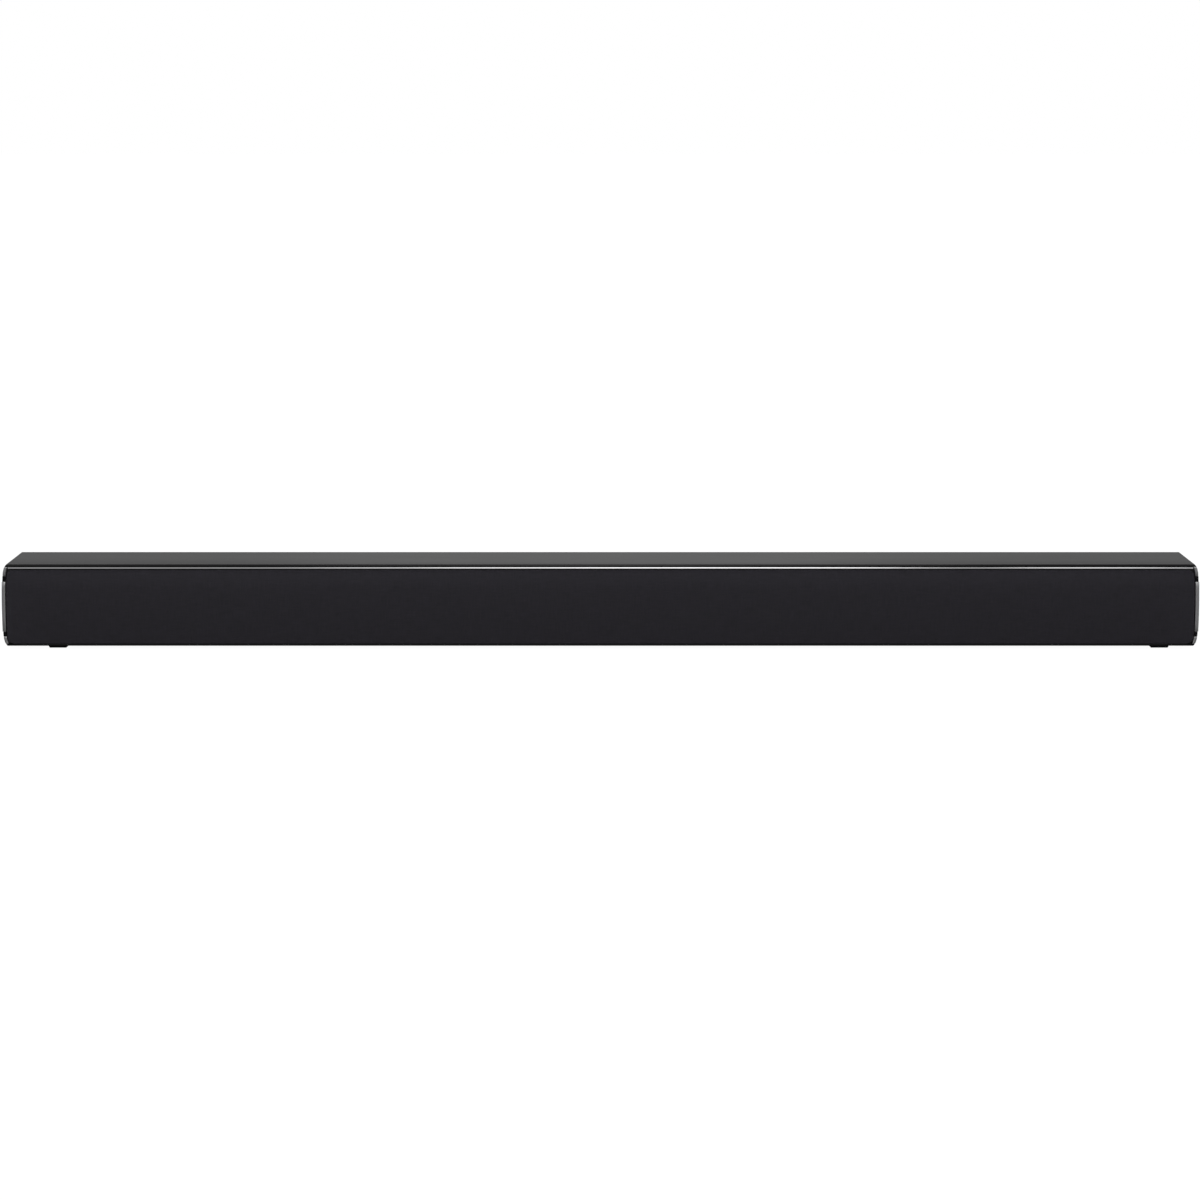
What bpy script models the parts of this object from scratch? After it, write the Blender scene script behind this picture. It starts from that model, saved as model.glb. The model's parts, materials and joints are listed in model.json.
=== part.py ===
"""A soundbar: a long, low speaker cabinet with a cloth grille, chrome trims, four drivers and rear sockets.

Units are metres. +X is to the listener's right hand when facing the grille, the grille faces -Y,
and +Z is up. The origin is under the middle of the cabinet, on the plane its feet stand on.
"""

import math

import bmesh
import bpy
from mathutils import Matrix, Vector

# Overall size
WIDTH = 0.940
DEPTH = 0.090
HEIGHT = 0.0674
FOOT_HEIGHT = 0.003
GAP = 0.0003

# Front face, bottom to top: lower lip, grille, groove, chrome strip, lip of the top cover
LIP_HEIGHT = 0.0014
GROOVE_HEIGHT = 0.00085
STRIP_HEIGHT = 0.0016
COVER_THICKNESS = 0.00195

# How far each layer of the front face stands behind the cloth
LIP_SETBACK = 0.0004
COVER_SETBACK = 0.0010
STRIP_SETBACK = 0.0018
TRIM_SETBACK = 0.0002

# Rounded ends: the side bulges at mid height and rounds off towards the top and bottom
END_BULGE = 0.0008
END_ROUNDING = 0.0029
END_POWER = 12
OUTLINE_STEPS = 12

# Grille
CLOTH_THICKNESS = 0.0008
FRAME_THICKNESS = 0.0020
FRAME_RAIL = 0.0075
FRAME_BAR = 0.006
WINDOWS = 12
BEND_START = 0.043
BEND_RADIUS = 0.080
BEND_STEPS = 5
GRILLE_CORNER = 0.004
SHADOW_GAP = 0.0008
PEG_RADIUS = 0.002
PEG_INSET = 0.0045
PEG_COLUMNS = (-0.432, -0.210, 0.0, 0.210, 0.432)

# Chrome end trims
TRIM_WIDTH = 0.0023
TRIM_DEPTH = 0.0055
TRIM_PROUD = 0.0005
TRIM_WEB = 0.0010
RIB_FACE = 0.0005
RIB_ZONES = ((0.0102, 0.0142), (0.0535, 0.0583))

# Chrome strip
STRIP_DEPTH = 0.0062
SHELF_THICKNESS = 0.0017

# Walls
WALL = 0.0025
CAP_WALL = 0.0026
CAP_LENGTH = 0.0197
PARTITION = 0.002
PARTITION_X = 0.270
REAR_RADIUS = 0.004
COVER_CORNER = 0.005
COVER_EDGE = 0.0008
COVER_RIB = 0.0013
COVER_RIB_DROP = 0.0032

# Baffle
BAFFLE_SETBACK = 0.0085
BAFFLE_THICKNESS = 0.003
BAFFLE_STOP = 0.0015
BAFFLE_STOP_HEIGHT = 0.002

# Drivers
DRIVER_X = (-0.395, -0.325, 0.325, 0.395)
DRIVER_SEGMENTS = 18
FLANGE_RADIUS = 0.027
FLANGE_THICKNESS = 0.0018
BASKET_MOUTH = 0.0208
BASKET_DEPTH = 0.014
BASKET_WALL = 0.0012
BASKET_BASE_RADIUS = 0.018
BASKET_WINDOW = 0.012
SURROUND_OUTER = 0.0232
SURROUND_INNER = 0.0168
SURROUND_LIP = 0.0022
SURROUND_THICKNESS = 0.0005
SURROUND_ROLL = 0.0018
CONE_WALL = 0.0008
CONE_DEPTH = 0.006
DUST_CAP_RISE = 0.0024
DUST_CAP_STEPS = (0, 0.4, 0.75)
CONE_NECK = 0.00128
COIL_RADIUS = 0.0076
COIL_WALL = 0.0006
COIL_LENGTH = 0.0125
COIL_CLEARANCE = 0.0008
MAGNET_RADIUS = 0.019
MAGNET_LENGTH = 0.012
MAGNET_BACK_PLATE = 0.0025

# Feet
FOOT_X = (("left", -0.4277), ("right", 0.4407))
FOOT_SETBACK = 0.010
FOOT_REAR_SETBACK = 0.0075
FOOT_SIZE = (0.016, 0.022)
FOOT_TAPER = 0.0012
FOOT_INSET = 0.0006

# Case screws and the posts of the top cover that they pull down
SCREW_PAIRS = ((0.360, "front", 0.0135), (0.408, "rear", 0.0125), (0.100, "rear", 0.0095))
SCREW_RADIUS = 0.0015
SCREW_LENGTH = 0.016
SCREW_HEAD_RADIUS = 0.0029
SCREW_HEAD_HEIGHT = 0.002
SCREW_SINK = 0.0013
BOSS_RADIUS = 0.0045
BOSS_HEIGHT = 0.0062
POST_RADIUS = 0.004

# Signal sockets in the rear recess
RECESS_LOW = (-0.064, 0.017)
RECESS_HIGH = (0.026, 0.049)
RECESS_DEPTH = 0.016
RECESS_WALL = 0.002
PANEL_THICKNESS = 0.0016
SOCKET_Z = 0.033
PHONO_X = (-0.050, -0.034)
PHONO_COLLAR = 0.0042
PHONO_BORE = 0.0022
PHONO_REACH = 0.0075
PHONO_BODY = (0.0100, 0.0130, 0.0110)
AUX_X = -0.014
AUX_COLLAR = 0.003
AUX_BORE = 0.0018
AUX_BODY = (0.0080, 0.0120, 0.0090)
OPTICAL_X = 0.008
OPTICAL_WELL = (0.0084, 0.0084)
OPTICAL_WELL_DEPTH = 0.009
OPTICAL_BODY = (0.0130, 0.0130, 0.0125)

# Mains inlet in its own recess
INLET_X = 0.171
INLET_Z = 0.032
INLET_RECESS = (0.038, 0.024)
INLET_BACK = 0.0025
INLET_FLANGE = (0.024, 0.017)
INLET_FLANGE_THICKNESS = 0.002
INLET_BODY = (0.020, 0.0142)
INLET_BODY_DEPTH = 0.0145
INLET_WELL_RADIUS = 0.0043
INLET_WELL_HALF = 0.0032
INLET_WELL_DEPTH = 0.014
INLET_PIN_RADIUS = 0.0012
INLET_PIN_SPACING = 0.0086
INLET_PIN_LENGTH = 0.010

# Vent slots above the recess
VENT_COUNT = 12
VENT_PITCH = 0.0065
VENT_SIZE = (0.0025, 0.007)
VENT_Z = 0.0575

# Keyhole plates
KEYHOLE_X = 0.300
KEYHOLE_Z = 0.042
KEYHOLE_PLATE = (0.026, 0.034)
KEYHOLE_THICKNESS = 0.0012
KEYHOLE_SEAT = 0.0016
KEYHOLE_PAD = 0.0020
KEYHOLE_WINDOW = (0.014, 0.024)
KEYHOLE_HEAD_RADIUS = 0.0048
KEYHOLE_SLOT_WIDTH = 0.0046
KEYHOLE_SLOT_RISE = 0.010
KEYHOLE_CORNER = 0.001

# Circuit boards
BOARD = 0.0016
MAIN_BOARD_X = (-0.080, 0.040)
MAIN_BOARD_Z = 0.0227
MAIN_BOARD_FRONT_GAP = 0.0095
MAIN_BOARD_REAR_GAP = 0.0011
POWER_BOARD_X = (0.120, 0.262)
POWER_BOARD_Z = 0.012
POWER_BOARD_FRONT_GAP = 0.0115
POWER_BOARD_REAR_GAP = 0.001
STANDOFF_RADIUS = 0.003
STANDOFF_INSET = 0.005
AMPLIFIER_X = -0.040
AMPLIFIER_SIZE = (0.014, 0.014, 0.0015)
DECODER_INSET = 0.022
DECODER_SIZE = (0.014, 0.014, 0.0014)
COIL_INSET = 0.010
COIL_INSETS_Y = (0.008, 0.020)
OUTPUT_COIL_RADIUS = 0.0045
OUTPUT_COIL_HEIGHT = 0.008
FUSE_INSET = 0.016
FUSE_SIZE = (0.008, 0.024, 0.008)
SINK_SIZE = (0.040, 0.028)
SINK_BASE = 0.003
SINK_FIN = 0.0016
SINK_FINS = 6
SINK_HEIGHT = 0.018
SINK_JACK_GAP = 0.0038
TRANSFORMER_X = 0.155
TRANSFORMER_INLET_GAP = 0.00675
TRANSFORMER_SIZE = (0.028, 0.024, 0.022)
TRANSFORMER_CORE = 0.008
CAPACITOR_X = 0.215
CAPACITOR_RADIUS = 0.009
CAPACITOR_HEIGHT = 0.030

# Remote sensor behind the grille
SENSOR_X = 0.052
SENSOR_BOARD = (0.034, 0.014)
SENSOR_WINDOW = (0.022, 0.009)
SENSOR_BOARD_THICKNESS = 0.0012
SENSOR_RADIUS = 0.0025
SENSOR_REACH = 0.0038
SENSOR_SPACING = 0.012

# Buttons in the right end cap
BUTTON_NAMES = ("power_button", "source_button", "volume_down_button", "volume_up_button")
BUTTON_PITCH = 0.015
BUTTON_FACE = (0.0120, 0.0066)
BUTTON_CORNER = 0.0012
BUTTON_PROUD = 0.0010
BUTTON_FLANGE = 0.0012
BUTTON_FLANGE_THICKNESS = 0.0010
BUTTON_STEM_RADIUS = 0.0020
BUTTON_STEM = 0.0026
BUTTON_TRAVEL = 0.0006
BUTTON_RECESS = 0.0013
BUTTON_RECESS_MARGIN = 0.0022
BUTTON_RECESS_ROUNDING = 0.98
PLUNGER_RADIUS = 0.0017
PLUNGER_REACH = 0.0022
PLUNGER_SINK = 0.0013
SWITCH_SIZE = 0.0064
SWITCH_HEIGHT = 0.0036
BUTTON_BOARD_HEIGHT = 0.016
BUTTON_POST_RADIUS = 0.0025

# Levels and planes that follow from the sizes above
FRONT = -DEPTH / 2
BACK = DEPTH / 2
BODY_BOTTOM = FOOT_HEIGHT
FLOOR_TOP = BODY_BOTTOM + WALL
COVER_BOTTOM = HEIGHT - COVER_THICKNESS
WALL_TOP = COVER_BOTTOM - GAP
STRIP_TOP = WALL_TOP
STRIP_BOTTOM = STRIP_TOP - STRIP_HEIGHT
CLOTH_TOP = STRIP_BOTTOM - GROOVE_HEIGHT
CLOTH_BOTTOM = BODY_BOTTOM + LIP_HEIGHT + GAP
SHELF_TOP = STRIP_BOTTOM - GAP
SHELF_BOTTOM = SHELF_TOP - SHELF_THICKNESS
MIDDLE = (BODY_BOTTOM + HEIGHT) / 2
HALF_BODY = (HEIGHT - BODY_BOTTOM) / 2
CAP_INNER = WIDTH / 2 - CAP_LENGTH
HOUSING_END = CAP_INNER - GAP
TRIM_FRONT = FRONT + TRIM_SETBACK
TRIM_BACK = TRIM_FRONT + TRIM_DEPTH
CAP_FRONT = TRIM_BACK + GAP
LIP_FRONT = FRONT + LIP_SETBACK
STRIP_FRONT = FRONT + STRIP_SETBACK
STRIP_BACK = STRIP_FRONT + STRIP_DEPTH
BAFFLE_FRONT = FRONT + BAFFLE_SETBACK
BAFFLE_BACK = BAFFLE_FRONT + BAFFLE_THICKNESS
BAFFLE_HALF = HOUSING_END - WALL - GAP * 2
DRIVER_Z = (FLOOR_TOP + GAP + SHELF_BOTTOM) / 2
REAR_INSIDE = BACK - WALL
RECESS_INNER = BACK - RECESS_DEPTH
BOSS_TOP = FLOOR_TOP + BOSS_HEIGHT
POST_BOTTOM = BOSS_TOP + GAP
MAIN_BOARD_TOP = MAIN_BOARD_Z + BOARD
POWER_BOARD_TOP = POWER_BOARD_Z + BOARD
PANEL_BACK = RECESS_INNER - GAP
PANEL_FRONT = PANEL_BACK - PANEL_THICKNESS
SOCKET_BACK = PANEL_FRONT - GAP
INLET_END = RECESS_INNER - INLET_BODY_DEPTH
AMPLIFIER = (AMPLIFIER_X, SOCKET_BACK - PHONO_BODY[1] - SINK_JACK_GAP - SINK_SIZE[1] / 2)
TRANSFORMER_Y = INLET_END - TRANSFORMER_INLET_GAP - TRANSFORMER_SIZE[1] / 2
MAIN_BOARD = (
    (MAIN_BOARD_X[0], BAFFLE_BACK + MAIN_BOARD_FRONT_GAP),
    (MAIN_BOARD_X[1], PANEL_FRONT - MAIN_BOARD_REAR_GAP),
)
POWER_BOARD = (
    (POWER_BOARD_X[0], BAFFLE_BACK + POWER_BOARD_FRONT_GAP),
    (POWER_BOARD_X[1], INLET_END - POWER_BOARD_REAR_GAP),
)

# The buttons' layers, from the cap's outer face inwards
CAP_FACE = WIDTH / 2 - TRIM_PROUD
CAP_INSIDE = CAP_FACE - CAP_WALL
RECESS_FLOOR = CAP_FACE - BUTTON_RECESS
FLANGE_FACE = CAP_INSIDE - GAP
STEM_END = FLANGE_FACE - BUTTON_FLANGE_THICKNESS - BUTTON_STEM
PLUNGER_TIP = STEM_END - GAP
SWITCH_FACE = PLUNGER_TIP - PLUNGER_REACH
SWITCH_BASE = SWITCH_FACE - SWITCH_HEIGHT

AXES = {
    "X": Matrix(((0, 0, 1), (1, 0, 0), (0, 1, 0))).to_4x4(),
    "Y": Matrix(((1, 0, 0), (0, 0, -1), (0, 1, 0))).to_4x4(),
    "Z": Matrix.Identity(4),
}


def new_collection(name):
    collection = bpy.data.collections.new(name)
    bpy.context.scene.collection.children.link(collection)
    return collection


def new_finish(name, colour, roughness, metallic=0.0):
    finish = bpy.data.materials.new(name)
    finish.use_nodes = True
    shader = finish.node_tree.nodes["Principled BSDF"]
    shader.inputs["Base Color"].default_value = (*colour, 1.0)
    shader.inputs["Roughness"].default_value = roughness
    shader.inputs["Metallic"].default_value = metallic
    return finish


for leftover in list(bpy.data.objects):
    bpy.data.objects.remove(leftover)

PARTS = new_collection("soundbar")
TOOLS = new_collection("soundbar_cutters")
GLOSS = new_finish("gloss_black", (0.012, 0.012, 0.013), 0.18)
MATT = new_finish("textured_black", (0.020, 0.020, 0.021), 0.55)
CLOTH = new_finish("grille_cloth", (0.016, 0.016, 0.018), 0.9)
CHROME = new_finish("chrome", (0.85, 0.85, 0.86), 0.08, 1.0)
RUBBER = new_finish("rubber", (0.025, 0.025, 0.026), 0.8)
STEEL = new_finish("zinc_steel", (0.60, 0.61, 0.62), 0.35, 1.0)
FERRITE = new_finish("ferrite", (0.05, 0.05, 0.055), 0.6)
PAPER = new_finish("cone_paper", (0.03, 0.03, 0.03), 0.8)
CIRCUIT = new_finish("circuit_board", (0.02, 0.12, 0.05), 0.4)
ALUMINIUM = new_finish("aluminium", (0.75, 0.76, 0.77), 0.3, 1.0)
WINDING = new_finish("transformer_tape", (0.75, 0.55, 0.10), 0.5)
SLEEVE = new_finish("capacitor_sleeve", (0.02, 0.03, 0.10), 0.35)
SOCKET = new_finish("socket_black", (0.015, 0.015, 0.016), 0.4)
WHITE = new_finish("socket_white", (0.80, 0.80, 0.78), 0.4)
RED = new_finish("socket_red", (0.60, 0.02, 0.02), 0.4)

ROOT = bpy.data.objects.new("soundbar_origin", None)
PARTS.objects.link(ROOT)


def place(name, data, finish, parent=ROOT, location=(0, 0, 0)):
    """A part when it has a finish, and a hidden cutter when it has none."""
    obj = bpy.data.objects.new(name, data)
    obj.parent = parent
    obj.location = location
    if finish:
        data.materials.append(finish)
        PARTS.objects.link(obj)
    else:
        obj.hide_render = True
        obj.display_type = "WIRE"
        TOOLS.objects.link(obj)
    return obj


def mesh_of(shape, name):
    mesh = bpy.data.meshes.new(name)
    shape.to_mesh(mesh)
    shape.free()
    return mesh


def box(name, low, high, finish=None, parent=ROOT, location=(0, 0, 0)):
    """An axis-aligned block between two corners."""
    low, high = Vector(low), Vector(high)
    shape = bmesh.new()
    bmesh.ops.create_cube(shape, size=1.0)
    bmesh.ops.scale(shape, vec=high - low, verts=shape.verts)
    bmesh.ops.translate(shape, vec=(low + high) / 2, verts=shape.verts)
    return place(name, mesh_of(shape, name), finish, parent, location)


def rod(name, axis, centre, start, end, radius, finish=None, segments=12, parent=ROOT, location=(0, 0, 0)):
    """A cylinder along one axis. centre holds the other two coordinates, in X, Y, Z order."""
    shape = bmesh.new()
    bmesh.ops.create_cone(
        shape, cap_ends=True, segments=segments, radius1=radius, radius2=radius, depth=end - start
    )
    bmesh.ops.transform(shape, matrix=AXES[axis], verts=shape.verts)
    middle = list(centre)
    middle.insert("XYZ".index(axis), (start + end) / 2)
    bmesh.ops.translate(shape, vec=middle, verts=shape.verts)
    bmesh.ops.recalc_face_normals(shape, faces=shape.faces)
    mesh = mesh_of(shape, name)
    mesh.shade_smooth()
    mesh.set_sharp_from_angle(angle=math.radians(40))
    return place(name, mesh, finish, parent, location)


def slab(name, axis, outline, start, end, finish=None):
    """A flat outline drawn in the plane across one axis, given thickness from start to end along it."""
    curve = bpy.data.curves.new(name, "CURVE")
    curve.dimensions = "2D"
    curve.fill_mode = "BOTH"
    curve.extrude = (end - start) / 2
    spline = curve.splines.new("POLY")
    spline.points.add(len(outline) - 1)
    for point, (u, v) in zip(spline.points, outline):
        point.co = (u, v, 0, 1)
    spline.use_cyclic_u = True
    drawn = bpy.data.objects.new(name + "_outline", curve)
    TOOLS.objects.link(drawn)
    along = Vector((0, 0, -(start + end) / 2 if axis == "Y" else (start + end) / 2))
    drawn.matrix_world = AXES[axis] @ Matrix.Translation(along)
    bpy.context.view_layer.update()
    mesh = bpy.data.meshes.new_from_object(drawn.evaluated_get(bpy.context.evaluated_depsgraph_get()))
    matrix = drawn.matrix_world.copy()
    bpy.data.objects.remove(drawn)
    shape = bmesh.new()
    shape.from_mesh(mesh)
    bmesh.ops.remove_doubles(shape, verts=shape.verts, dist=1e-6)
    bmesh.ops.recalc_face_normals(shape, faces=shape.faces)
    shape.to_mesh(mesh)
    shape.free()
    mesh.name = name
    mesh.materials.clear()
    solid = place(name, mesh, finish)
    solid.matrix_world = matrix
    return solid


def turned(name, profile, finish, parent, closed):
    """A profile of (radius, height) turned about the parent's Z, running down its outer side."""
    shape = bmesh.new()
    points = [shape.verts.new((radius, 0, height)) for radius, height in profile]
    for first, second in zip(points, points[1:]):
        shape.edges.new((first, second))
    if closed:
        shape.edges.new((points[-1], points[0]))
    piece = place(name, mesh_of(shape, name), finish, parent)
    screw = piece.modifiers.new("turn", "SCREW")
    screw.axis = "Z"
    screw.steps = screw.render_steps = DRIVER_SEGMENTS
    screw.use_merge_vertices = True
    screw.merge_threshold = 0.00001
    screw.use_smooth_shade = True
    return piece


def combine(piece, operation, tools):
    for tool in tools:
        change = piece.modifiers.new(tool.name, "BOOLEAN")
        change.operation = operation
        change.object = tool


def cut(piece, *tools):
    combine(piece, "DIFFERENCE", tools)


def cut_at_once(piece, tools):
    """Cuts a piece with several cutters that don't touch, gathered into one."""
    shape = bmesh.new()
    for tool in tools:
        shape.from_mesh(tool.data)
        bpy.data.objects.remove(tool)
    name = piece.name + "_cutter"
    cut(piece, place(name, mesh_of(shape, name), None))


def join(piece, *tools):
    combine(piece, "UNION", tools)


def keep_inside(piece, *tools):
    combine(piece, "INTERSECT", tools)


def span(start, end, steps):
    """steps + 1 values from start to end."""
    return [start + (end - start) * step / steps for step in range(steps + 1)]


def arc(centre, radius, start, end, steps):
    """Points of an arc, with its angles in degrees."""
    return [
        (centre[0] + radius * math.cos(angle), centre[1] + radius * math.sin(angle))
        for angle in span(math.radians(start), math.radians(end), steps)
    ]


def rounded_rectangle(low, high, radius, steps=4):
    (left, bottom), (right, top) = low, high
    return (
        arc((right - radius, bottom + radius), radius, -90, 0, steps)
        + arc((right - radius, top - radius), radius, 0, 90, steps)
        + arc((left + radius, top - radius), radius, 90, 180, steps)
        + arc((left + radius, bottom + radius), radius, 180, 270, steps)
    )


def end_half_width(z):
    """Half the body's width at one height: widest in the middle, drawn in towards the top and bottom."""
    share = (z - MIDDLE) / HALF_BODY
    return CAP_FACE - END_BULGE * share**2 - END_ROUNDING * share**END_POWER


def end_levels(low, high):
    """Heights between two levels, closer together towards both, where the ends curve most."""
    shares = [(1 - math.cos(math.pi * share)) / 2 for share in span(0, 1, OUTLINE_STEPS)]
    return [low + (high - low) * share for share in shares]


def end_band(name, side, heights, inner, outer, start, end, finish=None):
    """A band that follows one rounded end, from inner to outer metres inside it, between two depths."""
    levels = end_levels(*heights)
    outline = [(side * (end_half_width(z) - outer), z) for z in levels]
    outline += [(side * (end_half_width(z) - inner), z) for z in reversed(levels)]
    return slab(name, "Y", outline, start, end, finish)


def body_outline(heights, inset):
    """The front outline between two heights, both rounded ends included."""
    levels = end_levels(*heights)
    right = [(end_half_width(z) - inset, z) for z in levels]
    return right + [(-x, z) for x, z in reversed(right)]


def grille_outline(inset):
    """The grille's front outline: it follows the end trims and has rounded corners."""
    bottom, top = CLOTH_BOTTOM + inset, CLOTH_TOP - inset
    levels = arc((0, bottom + GRILLE_CORNER), GRILLE_CORNER, -90, 0, 4)
    straight = span(bottom + GRILLE_CORNER, top - GRILLE_CORNER, OUTLINE_STEPS)
    levels += [(GRILLE_CORNER, z) for z in straight[1:-1]]
    levels += arc((0, top - GRILLE_CORNER), GRILLE_CORNER, 0, 90, 4)
    inset += TRIM_WIDTH + SHADOW_GAP + GRILLE_CORNER
    right = [(end_half_width(z) - inset + reach, z) for reach, z in levels]
    return right + [(-x, z) for x, z in reversed(right)]


def grille_section(back, thickness, inset):
    """The grille's side section: upright, with its top leaning back on a large radius."""
    levels = [CLOTH_BOTTOM + inset] + span(BEND_START, CLOTH_TOP - inset, BEND_STEPS)
    front = [(FRONT + back + max(0.0, z - BEND_START) ** 2 / (2 * BEND_RADIUS), z) for z in levels]
    return front + [(y + thickness, z) for y, z in reversed(front)]


def make_grille_cloth():
    cloth = slab(
        "grille_cloth", "X", grille_section(0, CLOTH_THICKNESS, 0), -WIDTH / 2, WIDTH / 2, CLOTH
    )
    keep_inside(cloth, slab("cloth_outline_cutter", "Y", grille_outline(0), FRONT - WALL, BAFFLE_FRONT))


def make_grille_frame():
    """A moulded frame behind the cloth, with windows for the sound and pegs that push into the baffle."""
    back = CLOTH_THICKNESS + GAP
    frame = slab(
        "grille_frame", "X", grille_section(back, FRAME_THICKNESS, GAP), -WIDTH / 2, WIDTH / 2, MATT
    )
    keep_inside(frame, slab("frame_outline_cutter", "Y", grille_outline(GAP), FRONT - WALL, BAFFLE_FRONT))
    half = end_half_width(CLOTH_TOP) - TRIM_WIDTH - SHADOW_GAP - FRAME_RAIL
    edges = span(-half, half, WINDOWS)
    for number, (left, right) in enumerate(zip(edges, edges[1:])):
        window = box(
            f"frame_window_cutter_{number}",
            (left + FRAME_BAR / 2, FRONT - WALL, CLOTH_BOTTOM + FRAME_RAIL),
            (right - FRAME_BAR / 2, BAFFLE_FRONT, CLOTH_TOP - FRAME_RAIL),
        )
        cut(frame, window)
    for name, x, z in peg_places():
        lean = max(0.0, z - BEND_START) ** 2 / (2 * BEND_RADIUS)
        start = FRONT + back + lean + FRAME_THICKNESS / 2
        join(frame, rod(f"peg_{name}", "Y", (x, z), start, BAFFLE_BACK - GAP, PEG_RADIUS, segments=8))


def peg_places():
    for row, z in (("low", FLOOR_TOP + PEG_INSET), ("high", SHELF_BOTTOM - PEG_INSET)):
        for column, x in enumerate(PEG_COLUMNS):
            yield f"{row}_{column}", x, z


def make_top_trim_strip():
    radius = STRIP_HEIGHT / 2
    section = arc((STRIP_FRONT + radius, STRIP_BOTTOM + radius), radius, 90, 270, 6)
    section += [(STRIP_BACK, STRIP_BOTTOM), (STRIP_BACK, STRIP_TOP)]
    half = end_half_width(STRIP_TOP) - TRIM_WIDTH - GAP
    slab("top_trim_strip", "X", section, -half, half, CHROME)


def make_top_cover():
    """A thin glossy lid. Its ribs locate it behind the rear wall, and its posts take the case screws."""
    front = FRONT + COVER_SETBACK
    section = [(BACK, COVER_BOTTOM), *arc((BACK - COVER_EDGE, HEIGHT - COVER_EDGE), COVER_EDGE, 0, 90, 3)]
    section += arc((front + COVER_EDGE, HEIGHT - COVER_EDGE), COVER_EDGE, 90, 180, 3)
    section.append((front, COVER_BOTTOM))
    cover = slab("top_cover", "X", section, -WIDTH / 2, WIDTH / 2, GLOSS)
    ends = body_outline((COVER_BOTTOM - WALL, HEIGHT), 0)
    keep_inside(cover, slab("cover_ends_cutter", "Y", ends, front - WALL, BACK + WALL))
    half = end_half_width(COVER_BOTTOM) + GAP
    plan = [(half, front - WALL), *arc((half - COVER_CORNER, BACK - COVER_CORNER), COVER_CORNER, 0, 90, 4)]
    plan += [(-x, y) for x, y in reversed(plan)]
    keep_inside(cover, slab("cover_plan_cutter", "Z", plan, COVER_BOTTOM - WALL, HEIGHT + WALL))
    stops = (-HOUSING_END + WALL, -PARTITION_X, PARTITION_X, HOUSING_END - WALL)
    for number, (left, right) in enumerate(zip(stops, stops[1:])):
        rib = box(
            f"cover_rib_{number}",
            (left + PARTITION, REAR_INSIDE - GAP - COVER_RIB, COVER_BOTTOM - COVER_RIB_DROP),
            (right - PARTITION, REAR_INSIDE - GAP, COVER_BOTTOM + COVER_THICKNESS / 2),
        )
        join(cover, rib)
    depth = BODY_BOTTOM + SCREW_SINK + SCREW_HEAD_HEIGHT + SCREW_LENGTH + WALL
    top = COVER_BOTTOM + COVER_THICKNESS / 2
    for number, centre in screw_places():
        join(cover, rod(f"post_{number}", "Z", centre, POST_BOTTOM, top, POST_RADIUS))
        cut(cover, rod(f"post_cutter_{number}", "Z", centre, POST_BOTTOM - WALL, depth, SCREW_RADIUS + GAP))


def screw_places():
    """Each pair stands a set distance in from the baffle or from the rear wall."""
    places = []
    for x, wall, distance in SCREW_PAIRS:
        y = BAFFLE_BACK + distance if wall == "front" else REAR_INSIDE - distance
        places += [(-x, y), (x, y)]
    return enumerate(places, 1)


def make_front_baffle():
    """The board the drivers bolt to, with a shelf along its top edge that carries the chrome strip."""
    bottom = FLOOR_TOP + GAP
    shelf_front = FRONT + CLOTH_THICKNESS + FRAME_THICKNESS + 2 * GAP
    shelf_front += (CLOTH_TOP - BEND_START) ** 2 / (2 * BEND_RADIUS) + GAP
    section = [(BAFFLE_BACK, bottom), (BAFFLE_BACK, SHELF_TOP), (shelf_front, SHELF_TOP)]
    section += [(shelf_front, SHELF_BOTTOM), (BAFFLE_FRONT, SHELF_BOTTOM), (BAFFLE_FRONT, bottom)]
    baffle = slab("front_baffle", "X", section, -BAFFLE_HALF, BAFFLE_HALF, MATT)
    start, end = BAFFLE_FRONT - WALL, BAFFLE_BACK + WALL
    hole = SURROUND_OUTER + 2 * GAP
    cutters = [
        rod(f"driver_hole_cutter_{number}", "Y", (x, DRIVER_Z), start, end, hole, segments=24)
        for number, x in enumerate(DRIVER_X, 1)
    ]
    cutters += [
        rod(f"peg_cutter_{name}", "Y", (x, z), start, end, PEG_RADIUS + GAP, segments=8)
        for name, x, z in peg_places()
    ]
    cutters.append(box(
        "sensor_window_cutter",
        (SENSOR_X - SENSOR_WINDOW[0] / 2, start, DRIVER_Z - SENSOR_WINDOW[1] / 2),
        (SENSOR_X + SENSOR_WINDOW[0] / 2, end, DRIVER_Z + SENSOR_WINDOW[1] / 2),
    ))
    cut_at_once(baffle, cutters)


def make_end_trim(name, side):
    """A C-shaped chrome bezel. Two black ribs of the end cap cross it, where only a thin web runs on."""
    depths = (TRIM_FRONT, TRIM_BACK)
    trim = end_band(name, side, (CLOTH_BOTTOM, STRIP_TOP), TRIM_WIDTH, 0, *depths, CHROME)
    (_, low), (high, _) = RIB_ZONES
    join(trim, end_band(name + "_bar", side, (low, high), TRIM_WIDTH / 2, -TRIM_PROUD, *depths))
    web_front = TRIM_FRONT + RIB_FACE + GAP
    for number, zone in enumerate(RIB_ZONES):
        side_cutter, face_cutter = f"{name}_side_cutter_{number}", f"{name}_face_cutter_{number}"
        start = TRIM_FRONT - WALL
        cut(
            trim,
            end_band(side_cutter, side, zone, TRIM_WIDTH - TRIM_WEB, -WALL, start, CAP_FRONT),
            end_band(face_cutter, side, zone, TRIM_WIDTH + WALL, -WALL, start, web_front),
        )


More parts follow.
